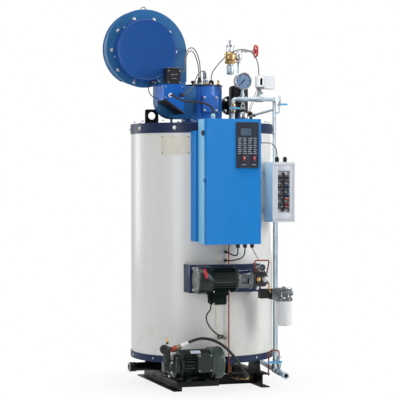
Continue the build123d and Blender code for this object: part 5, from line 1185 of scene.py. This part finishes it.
class BOILER_OT_pipework(bpy.types.Operator):
    """Dresses the gauge pipework, the pressure switch, the level probe, the water column and the levers"""

    bl_idname = "boiler.pipework"
    bl_label = "Pipework and switch"

    SWITCH_FACE = -209.9
    SWITCH_LEVER = [(287, -196, 1722), (296, -204, 1708), (306, -206, 1692)]
    LEVERS = ("blowdown_lever", "gauge_cock_handle", "drain_cock_handle")
    PROBE = Vector((214, -122, 1527))
    PROBE_CAP = [(22, 14), (22, 22), (29, 24), (30, 26), (30, 50), (28, 56), (20, 62), (10, 65), (0, 66)]
    BAIL = [(183, -124, 1562), (186, -126, 1590), (214, -130, 1606), (242, -126, 1590), (245, -124, 1562)]
    EYE_PLATE = [(-19, 0), (19, 0), (8, 40), (3, 45), (-3, 45), (-8, 40)]
    CAPILLARIES = (
        [(283, -188, 1722), (282, -180, 1690), (266, -152, 1640), (250, -134, 1584), (243, -128, 1566)],
        [(277, -186, 1722), (272, -176, 1694), (258, -150, 1650), (246, -134, 1592), (240, -130, 1572)],
    )
    BALANCE = [(268, -92, 1562), (300, -120, 1577), (340, -158, 1590), (377, -196, 1602)]

    def execute(self, context):
        pipes = Piece("gauge_pipes").dress("gauge_pipework", 0.8, "zinc", zone("nickel", z=(1576, 1640)))
        pipes.done("galvanised")
        low, high = corners("pressure_switch")
        switch = Piece("switch_case").dress(
            "pressure_switch", 1.4, "white",
            zone("window", (288.5, 303.5), (-209.6, -200), (1743.5, 1784.5)),
            zone("steel", (265, 317), (low.y, high.y), (low.z, 1735.5)),
            zone("pale", (317.9, high.x), (-197, high.y), (1722, high.z)),
        )
        switch.repeat(dome_screw, (2.8, 1.8), spots((275, 313), (self.SWITCH_FACE,), (1790, 1740)))
        switch.add(tube(self.SWITCH_LEVER, 3.2, 12), "dark").done("pale_plastic")
        self.probe()
        Piece("water_pipes").dress("water_column", 0.9, "zinc").done("galvanised")
        for lever in self.LEVERS:
            Piece(lever + "_sleeve", lever).dress(lever, 0.8, "handle").done("blue_sleeve")
        return {"FINISHED"}

    def probe(self):
        """The level probe's head in front of the steam column, with its eye plate and thin pipes."""
        foot = aimed(self.PROBE, UP)
        head = Piece("probe_head").add(hex_bolt(50, 14, False), "zinc", foot)
        head.add(turned(self.PROBE_CAP, 40), "steel", foot)
        head.add(tube(self.BAIL, 4.0, 14, 16), "dark")
        upright = Matrix.Translation((214, -118, 1604)) @ Matrix.Rotation(math.pi / 2, 4, "X")
        head.add(prism(self.EYE_PLATE, 4, 0.8), "white", upright)
        head.add(bar(6, 0, 1.4, 0.4, 24), "ink", aimed((214, -122.2, 1626), FRONT)).done("polished_steel")
        tubes = Piece("capillary_tubes")
        for route in self.CAPILLARIES:
            tubes.add(tube(route, 1.6, 8, 20), "copper")
        tubes.done("copper")
        link = Piece("balance_pipe").add(tube(self.BALANCE, 6.5, 16, 30), "zinc")
        nut = aimed((286, -108, 1571), (0.75, -0.6, 0.3))
        link.add(hex_bolt(19, 12, False), "nickel", nut).done("galvanised")


class BOILER_OT_cabinet(bpy.types.Operator):
    """Dresses the control cabinet, its stand-off frame and what is mounted inside"""

    bl_idname = "boiler.cabinet"
    bl_label = "Cabinet"

    PLUG = [(0, 0), (16, 0), (16.5, 2), (15.5, 4), (12, 4.6), (11.6, 9), (10, 10.4), (0, 10.6)]
    PLATE_BACK = -468.5
    PLATE_FACE = -470.5
    RAIL_FACE = -474.5
    BLOCK_LEFT = -140
    RAILS = (1400, 1262, 1010)
    TRUNKS = (1330, 1186, 1076, 934)
    LEAD_LOOKS = ("rubber", "cable", "deep_red")

    def execute(self, context):
        side = corners("cabinet_body")[0].x
        # The cabinet's left side takes the paler copy of the cabinet paint, which is painted light
        body = Piece("cabinet_housing").dress(
            "cabinet_body", 1.2, "cabinet", zone("cabinet_side", (side - 1, side + 0.5), (-574, -470))
        )
        body.add(turned(self.PLUG, 32), "dark", aimed((side, -560, 1452), -RIGHT)).done("cabinet_paint")
        stand = Piece("stand_off_frame").dress("cabinet_standoff", 1.0, "cabinet")
        stand.add(slab((-187.4, -464.8, 851.6), (-150, -462.4, 1464.4), 0.6), "cabinet")
        stand.done("cabinet_paint")
        board = Piece("mounting_board")
        board.add(slab((-158, self.PLATE_FACE, 862), (122, self.PLATE_BACK, 1504), 1.0), "zinc")
        board.repeat(hex_bolt, (8, 4), spots((-150, 114), (self.PLATE_FACE,), (870, 1496)))
        board.done("galvanised")
        self.add_relays()
        self.add_trunks()
        self.add_leads()
        return {"FINISHED"}

    def add_relays(self):
        top, middle, bottom = self.RAILS
        left = self.BLOCK_LEFT
        relays = Piece("relays")
        for z in self.RAILS:
            rail = slab((-146, self.RAIL_FACE, z - 17), (108, self.PLATE_FACE - 0.2, z + 17), 0.8)
            relays.add(rail, "zinc")
        for step in range(6):
            self.relay(relays, left + step * 40, top, 36, 62, 40, "dark" if step % 3 else "pale")
        for step in range(4):
            self.relay(relays, left + step * 46, middle, 42, 84, 48, "dark")
        self.relay(relays, 50, middle, 56, 84, 44, "pale")
        for step in range(16):
            self.relay(relays, left + step * 15.2, bottom, 13, 46, 32, "orange" if step == 3 else "pale")
        relays.done("black_plastic")

    def relay(self, piece, x, z, wide, tall, deep, look):
        """A switching block: a stepped case with screw terminals above and below."""
        back = self.RAIL_FACE
        step = back - deep * 0.62
        piece.add(slab((x, step, z - tall / 2), (x + wide, back, z + tall / 2), 1.2), look)
        nose = tall * 0.28
        low, high = (x + 1, back - deep, z - nose), (x + wide - 1, back - deep * 0.6, z + nose)
        piece.add(slab(low, high, 1.6), look)
        count = max(1, int(wide // 12))
        columns = [x + wide * (number + 0.5) / count for number in range(count)]
        piece.repeat(dome_screw, (2.6, 1.4), spots(columns, (step,), (z - tall * 0.4, z + tall * 0.4)))

    def add_trunks(self):
        """Wiring trunks with slotted rims."""
        front = self.PLATE_BACK - 34
        trunks = Piece("wiring_trunks")
        for z in self.TRUNKS:
            trunks.add(slab((-146, front, z - 15), (108, self.PLATE_FACE - 0.2, z + 15), 1.2), "pale")
            for step in range(24):
                x = self.BLOCK_LEFT + step * 10.4
                for low, high in ((z + 5, z + 15.2), (z - 15.2, z - 5)):
                    slot = slab((x, front - 0.6, low), (x + 4.4, front + 0.2, high), 0.2, 1)
                    trunks.add(slot, "dark")
        trunks.done("pale_plastic")

    def add_leads(self):
        """Short looped leads from the blocks down into the trunks."""
        near, far = self.PLATE_BACK - 30, self.PLATE_BACK - 42
        leads = Piece("relay_leads")
        for step in range(12):
            x = -132 + step * 19
            for route in (
                [(x, near, 1368), (x + 1, far, 1358), (x + 3, near, 1345)],
                [(x, near, 1220), (x + 2, far, 1210), (x + 3, near, 1201)],
                [(x, near + 4, 987), (x + 1, far + 4, 970), (x + 2, near, 949)],
            ):
                leads.add(tube(route, 1.4, 8), self.LEAD_LOOKS[step % 3])
        leads.done("black_plastic")


class BOILER_OT_door(bpy.types.Operator):
    """Dresses the cabinet's door: gasket, lock, display and rocker switches"""

    bl_idname = "boiler.door"
    bl_label = "Cabinet door"

    BODY = "cabinet_door"
    SWITCHES = (38, 98)

    def execute(self, context):
        low, high = corners("cabinet_door")
        door = Piece("door_leaf", self.BODY).dress(
            "cabinet_door", 1.2, "cabinet", zone("steel", (141.5, high.x + 1), (-606, -560), (900, 1440))
        )
        for x in (-175.6, 133.6):
            door.add(slab((x, -580.4, 839), (x + 6, -575.1, 1528), 1.6), "seal")
        for z in (838.5, 1522.5):
            door.add(slab((-175.6, -580.4, z), (139.6, -575.1, z + 6), 1.6), "seal")
        lock = aimed((low.x, -598, 1192), -RIGHT)
        door.add(turned([(0, -1), (11.5, -1), (11.5, 0), (10, 0.4), (0, 0.4)], 32), "navy", lock)
        door.add(slab((-4.2, -1.2, -0.2), (4.2, 1.2, 0.5), 0.2, 1), "dark", lock).done("cabinet_paint")
        self.add_display(corners("display_panel")[0].y)
        return {"FINISHED"}

    def add_display(self, face):
        panel = Piece("display_board", self.BODY).dress(
            "display_panel", 0.8, "trim", zone("screen", (19.5, 84.5), (face, face + 5.5), (1438, 1478))
        )
        front = face + 3
        panel.add(self.frame(133 - 7, 254 - 6, 4, 3.2), "trim", aimed((59.5, front - 0.2, 1385), FRONT))
        panel.add(self.frame(74, 48, 3, 2.4), "ink", aimed((52, front, 1458), FRONT))
        for x in self.SWITCHES:
            spot = aimed((x, front, 1308), FRONT)
            panel.add(self.frame(30, 42, 3, 3.4), "ink", spot)
            panel.add(slab((-6, -6, 3), (6, 15, 5.2), 1.2), "red", spot)
            # Painted highlight: a white mark on each red rocker stands in for a glint of light
            panel.add(slab((-2.2, 4, 5.2), (2.2, 11, 5.6), 0.2, 1), "white", spot)
        dashes = []
        for row in range(9):
            z = 1422 - 10.5 * row
            lengths = (22 - row % 3 * 3, 16 + row % 2 * 4, 24 - row % 4 * 3, 18 - row % 2 * 5)
            dashes += [(x, z, long, 2.6) for x, long in zip((4, 34, 64, 96), lengths)]
        dashes += [(x - 11, 1276, 22, 2.4) for x in self.SWITCHES]
        for x, z, long, tall in dashes:
            panel.add(slab((x, front - 0.25, z), (x + long, front + 0.3, z + tall), 0.1, 1), "print")
        panel.repeat(dome_screw, (2.6, 1.5), spots((-1, 120), (front,), (1264, 1506))).done("black_plastic")

    def frame(self, width, height, band, deep):
        """A picture-frame trim standing on local Z."""
        shape = bmesh.new()
        rings = []
        soft = 0.8
        low = deep - soft
        for inset, level in ((0, 0), (0, low), (soft, deep), (band - soft, deep), (band, low), (band, 0)):
            outline = rounded_outline(width - 2 * inset, height - 2 * inset, 3, 4)
            rings.append([shape.verts.new((x, y, level)) for x, y in outline])
        skin(shape, [*rings, rings[0]])
        return shape


class BOILER_OT_box(bpy.types.Operator):
    """Dresses the junction box with its terminal blocks and all the cable glands"""

    bl_idname = "boiler.box"
    bl_label = "Junction box and glands"

    TERMINAL_ROWS = {1203: "dark", 1152: "navy", 1101: "navy", 1050: "deep_red"}
    FRAME_BARS = (
        (284.6, 306, 968.6, 1277.4), (378, 399.4, 968.6, 1277.4),
        (306, 378, 968.6, 1006), (306, 378, 1244, 1277.4),
    )

    def execute(self, context):
        low = corners("junction_box")[0]
        blocks = []
        for z, right in self.TERMINAL_ROWS.items():
            blocks.append(zone("dark", (308, 334.9), (low.y, -441.9), (z - 19, z + 19)))
            blocks.append(zone(right, (349.1, 376), (low.y, -441.9), (z - 19, z + 19)))
        box = Piece("terminal_box").dress(
            "junction_box", 1.2, "pale",
            # the pale cyan-blue left side is a painted reflection of the cabinet and painted light
            zone("box_side", (low.x - 1, low.x + 0.5)),
            zone("dark", (334.9, 349.1), (low.y, -442.1), (1000, 1245)),
            *blocks,
        )
        for z in self.TERMINAL_ROWS:
            box.repeat(dome_screw, (2.6, 1.4), spots((315, 328, 356, 369), (-450,), (z - 11, z + 11)))
        box.add(slab((349.6, -451.2, 1083), (374.6, -449.6, 1090), 0.4), "orange")
        for left, right, bottom, top in self.FRAME_BARS:
            box.add(slab((left, -449.5, bottom), (right, -442, top), 0.6), "pale")
        box.repeat(dome_screw, (3.4, 2.0), spots((279, 405), (low.y,), (961, 1285))).done("pale_plastic")
        glands = Piece("cable_entries").dress(
            "cable_glands", 0.6, "dark",
            zone("cyan", (-130, -92), (-550, -510), (1528, 1562)),
            zone("white", (-292, -260), (-280, -255), (1655, 1690)),
            zone("rubber", (-40, 40), (-470, -400), (280, 800)),
        )
        glands.done("pale_plastic")
        return {"FINISHED"}


class BOILER_OT_fuel(bpy.types.Operator):
    """Dresses the fuel pump set on its plate: motor, bell housing, pump, filter and copper lines"""

    bl_idname = "boiler.fuel"
    bl_label = "Fuel pump set"

    AXIS = Vector((0, -552, 640))
    CORNER_TURNS = (45, 135, 225, 315)
    GAUGE = (152, -605, 704)
    FILTER_ELBOW = [(241, -480, 592), (244, -480, 576), (252, -484, 556), (266, -488, 550)]

    def execute(self, context):
        low, high = corners("fuel_plate")
        plate = Piece("fuel_bracket").dress("fuel_plate", 1.4, "navy")
        corner_bolts = spots((low.x + 22, high.x - 22), (low.y,), (low.z + 20, high.z - 20))
        plate.repeat(hex_bolt, (12, 6), corner_bolts).done("navy_paint")
        self.add_motor()
        Piece("bell_housing").dress("fuel_coupling", 1.0, "gunmetal").done("cast_aluminium")
        self.add_pump()
        head = Piece("filter_casting").dress("filter_head", 1.0, "gunmetal", zone("dark", below(268)))
        head.add(hex_bolt(17, 12, False), "brass", aimed((246, -480, 566), UP))
        head.add(tube(self.FILTER_ELBOW, 7.0, 16, 14), "brass")
        head.add(hex_bolt(19, 8), "steel", aimed((333, -480, corners("filter_head")[1].z), UP))
        head.done("cast_aluminium")
        Piece("filter_can").dress("filter_canister", 0.8, "white").done("white_paint")
        fittings = Piece("fuel_brasswork").dress(
            "fuel_fittings", 0.6, "brass",
            zone("steel", (126, 178), below(-566), (678, 730)),
            zone("steel", (116, 140), (-566, -538), (664, 700)),
        )
        dial = aimed(self.GAUGE, FRONT)
        fittings.add(bar(17.4, 0, 0.6, 0.2, 40), "trim", dial)
        pointer = prism([(-4, -0.9), (12, -0.4), (12, 0.4), (-4, 0.9)], 0.6, 0.1, 1)
        place = dial @ Matrix.Translation((0, 0, 0.6)) @ Matrix.Rotation(math.radians(150), 4, "Z")
        fittings.add(pointer, "print", place).done("brass")
        Piece("copper_lines").dress("fuel_lines", 0.5, "copper").done("copper")
        Piece("drain_copper").dress("drain_line", 0.5, "copper").done("copper")
        return {"FINISHED"}

    def add_motor(self):
        """The motor with its cover's lugs, end slats, label and terminal box screws."""
        low = corners("fuel_motor")[0]
        motor = Piece("fuel_motor_casting").dress(
            "fuel_motor", 0.8, "motor", zone("motor_cover", below(-143))
        )
        cover = aimed(self.AXIS - RIGHT * 150, -RIGHT)
        for turn in self.CORNER_TURNS:
            arm = Matrix.Rotation(math.radians(turn), 4, "Z") @ Matrix.Translation((79, 0, 0))
            motor.add(slab((-5, -3.5, -6), (3, 3.5, 6), 1.2), "motor_cover", cover @ arm)
        for step in range(13):
            rise = 9 * step - 54
            reach = math.sqrt(66 ** 2 - rise ** 2)
            y, z = self.AXIS.y, self.AXIS.z + rise
            slat = slab((low.x - 1.4, y - reach, z - 1.8), (low.x + 0.8, y + reach, z + 1.8), 0.6)
            motor.add(slat, "grille")
        for turn in (18, 33, 48):
            out = tilted(turn)
            spot = aimed(self.AXIS - RIGHT * 183 + out * 77.6, out)
            motor.add(prism(rounded_outline(15, 20, 1), 0.9, 0.2), "red", spot)
        for z in (515, 580):
            motor.repeat(dome_screw, (3.4, 2.2), spots((-140, -50), (low.y,), (z,)))
        motor.done("motor_paint")

    def add_pump(self):
        low, high = corners("fuel_pump")
        pump = Piece("fuel_pump_case").dress("fuel_pump", 0.8, "dark")
        flange = aimed(self.AXIS + RIGHT * (high.x - 106), RIGHT)
        for turn in self.CORNER_TURNS:
            arm = Matrix.Rotation(math.radians(turn), 4, "Z") @ Matrix.Translation((44, 0, 14))
            pump.add(hex_bolt(8, 5), "bolt", flange @ arm)
        pump.add(hex_bolt(19, 9), "steel", aimed((172, low.y + 1, self.AXIS.z), FRONT))
        pump.add(hex_bolt(14, 8), "brass", aimed((132, low.y + 1, self.AXIS.z), FRONT))
        pump.add(hex_bolt(22, 12), "steel", aimed((176, self.AXIS.y, high.z - 1), UP)).done("black_plastic")


class BOILER_OT_feed(bpy.types.Operator):
    """Dresses the feed pump, its motor and hose fittings, the water inlet and the flue outlet"""

    bl_idname = "boiler.feed"
    bl_label = "Feed pump, inlet and flue"

    AXIS = Vector((0, -525, 178))
    RIB = [(86.5, 0), (88.9, 0.8), (88.9, 2.6), (86.5, 3.4)]
    COCK = [(0, 0), (7, 0), (7, 8), (9, 9), (9, 14), (5, 15), (5, 26), (7, 27), (7, 33), (0, 34)]
    SLEEVE = [(78, -509, 122), (90, -500, 107), (105, -490, 89)]

    def execute(self, context):
        self.add_motor(corners("feed_motor")[0].y)
        top = corners("feed_pump")[1].z
        pump = Piece("feed_pump_casting").dress(
            "feed_pump", 1.0, "motor", zone("dark", z=above(top - 34))
        )
        pump.add(turned(self.COCK, 24), "brass", aimed((-376, self.AXIS.y, top - 1), UP))
        pump.repeat(hex_bolt, (10, 6), around((-362, self.AXIS.y, 164), 52, 6, 30, -RIGHT))
        pump.done("motor_paint")
        fittings = Piece("feed_brasswork").dress(
            "feed_fittings", 0.6, "bronze",
            zone("nickel", below(-200)),
            zone("white", (-296, -200), z=above(240)),
            zone("copper", below(-322)),
            zone("brass", (96, 112), z=(60, 100)),
        )
        fittings.add(tube(self.SLEEVE, 11.5, 24, 6), "rubber").done("brass")
        inlet = Piece("inlet_pipe").dress(
            "water_inlet", 0.8, "black", zone("zinc", (-466, -449), (-80, -20), (70, 150))
        )
        inlet.done("black_paint")
        flue = Piece("flue_spigot").dress("flue_outlet", 1.0, "steel")
        flue.add(bar(84, 0, 5, 1, 64), "ink", aimed((0, 419, 1300), -FRONT)).done("polished_steel")
        return {"FINISHED"}

    def add_motor(self, face):
        """The motor with its ribbed fan cover, terminal box screws and bare label."""
        motor = Piece("feed_motor_casting").dress(
            "feed_motor", 0.8, "motor", zone("ribbed_cover", above(-139), below(self.AXIS.y + 90))
        )
        places = [aimed(self.AXIS + RIGHT * (9 * step - 124), RIGHT) for step in range(6)]
        motor.repeat(turned, (self.RIB, 72), places, "ribbed_cover")
        motor.repeat(dome_screw, (3.4, 2.2), spots((-224, -158), (face,), (148, 230)))
        out = tilted(58)
        label = prism(rounded_outline(58, 26, 3), 1.0, 0.3)
        motor.add(label, "label", aimed(self.AXIS - RIGHT * 226 + out * 77.6, out)).done("motor_paint")


class BOILER_OT_finishes(bpy.types.Operator):
    """Gives each CAD piece that stays its finish"""

    bl_idname = "boiler.finishes"
    bl_label = "Finishes"

    STAYING = {"jacket_shell": "jacket", "jacket_bands": "navy", "seam_cover": "seam"}

    def execute(self, context):
        for node, look in self.STAYING.items():
            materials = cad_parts[node].data.materials
            materials.clear()
            materials.append(finish(look))
        return {"FINISHED"}


OPERATORS = (
    BOILER_OT_stage, BOILER_OT_cords, BOILER_OT_jacket, BOILER_OT_steelwork, BOILER_OT_drum,
    BOILER_OT_fan, BOILER_OT_damper, BOILER_OT_steam, BOILER_OT_gauge, BOILER_OT_pipework,
    BOILER_OT_cabinet, BOILER_OT_door, BOILER_OT_box, BOILER_OT_fuel, BOILER_OT_feed, BOILER_OT_finishes,
)


class BOILER_PT_panel(bpy.types.Panel):
    """Lists the boiler's colours, sizes, studio and pieces"""

    bl_idname = "BOILER_PT_panel"
    bl_label = "Boiler"
    bl_space_type = "VIEW_3D"
    bl_region_type = "UI"
    bl_category = "Boiler"

    def draw(self, context):
        layout = self.layout
        for group in (colours(), sizes(), studio()):
            box = layout.box()
            for name in group.__annotations__:
                box.prop(group, name)
        for operator in OPERATORS:
            layout.operator(operator.bl_idname)


GROUPS = {"boiler_colours": BoilerColours, "boiler_sizes": BoilerSizes, "boiler_studio": BoilerStudio}


def register():
    for group in GROUPS.values():
        bpy.utils.register_class(group)
    for operator in OPERATORS:
        bpy.utils.register_class(operator)
    bpy.utils.register_class(BOILER_PT_panel)
    for name, group in GROUPS.items():
        setattr(bpy.types.Scene, name, bpy.props.PointerProperty(type=group))


def unregister():
    for name in GROUPS:
        delattr(bpy.types.Scene, name)
    bpy.utils.unregister_class(BOILER_PT_panel)
    for operator in reversed(OPERATORS):
        bpy.utils.unregister_class(operator)
    for group in reversed(list(GROUPS.values())):
        bpy.utils.unregister_class(group)


def main():
    register()
    for operator in OPERATORS:
        family, name = operator.bl_idname.split(".")
        getattr(getattr(bpy.ops, family), name)()


if __name__ == "__main__":
    main()
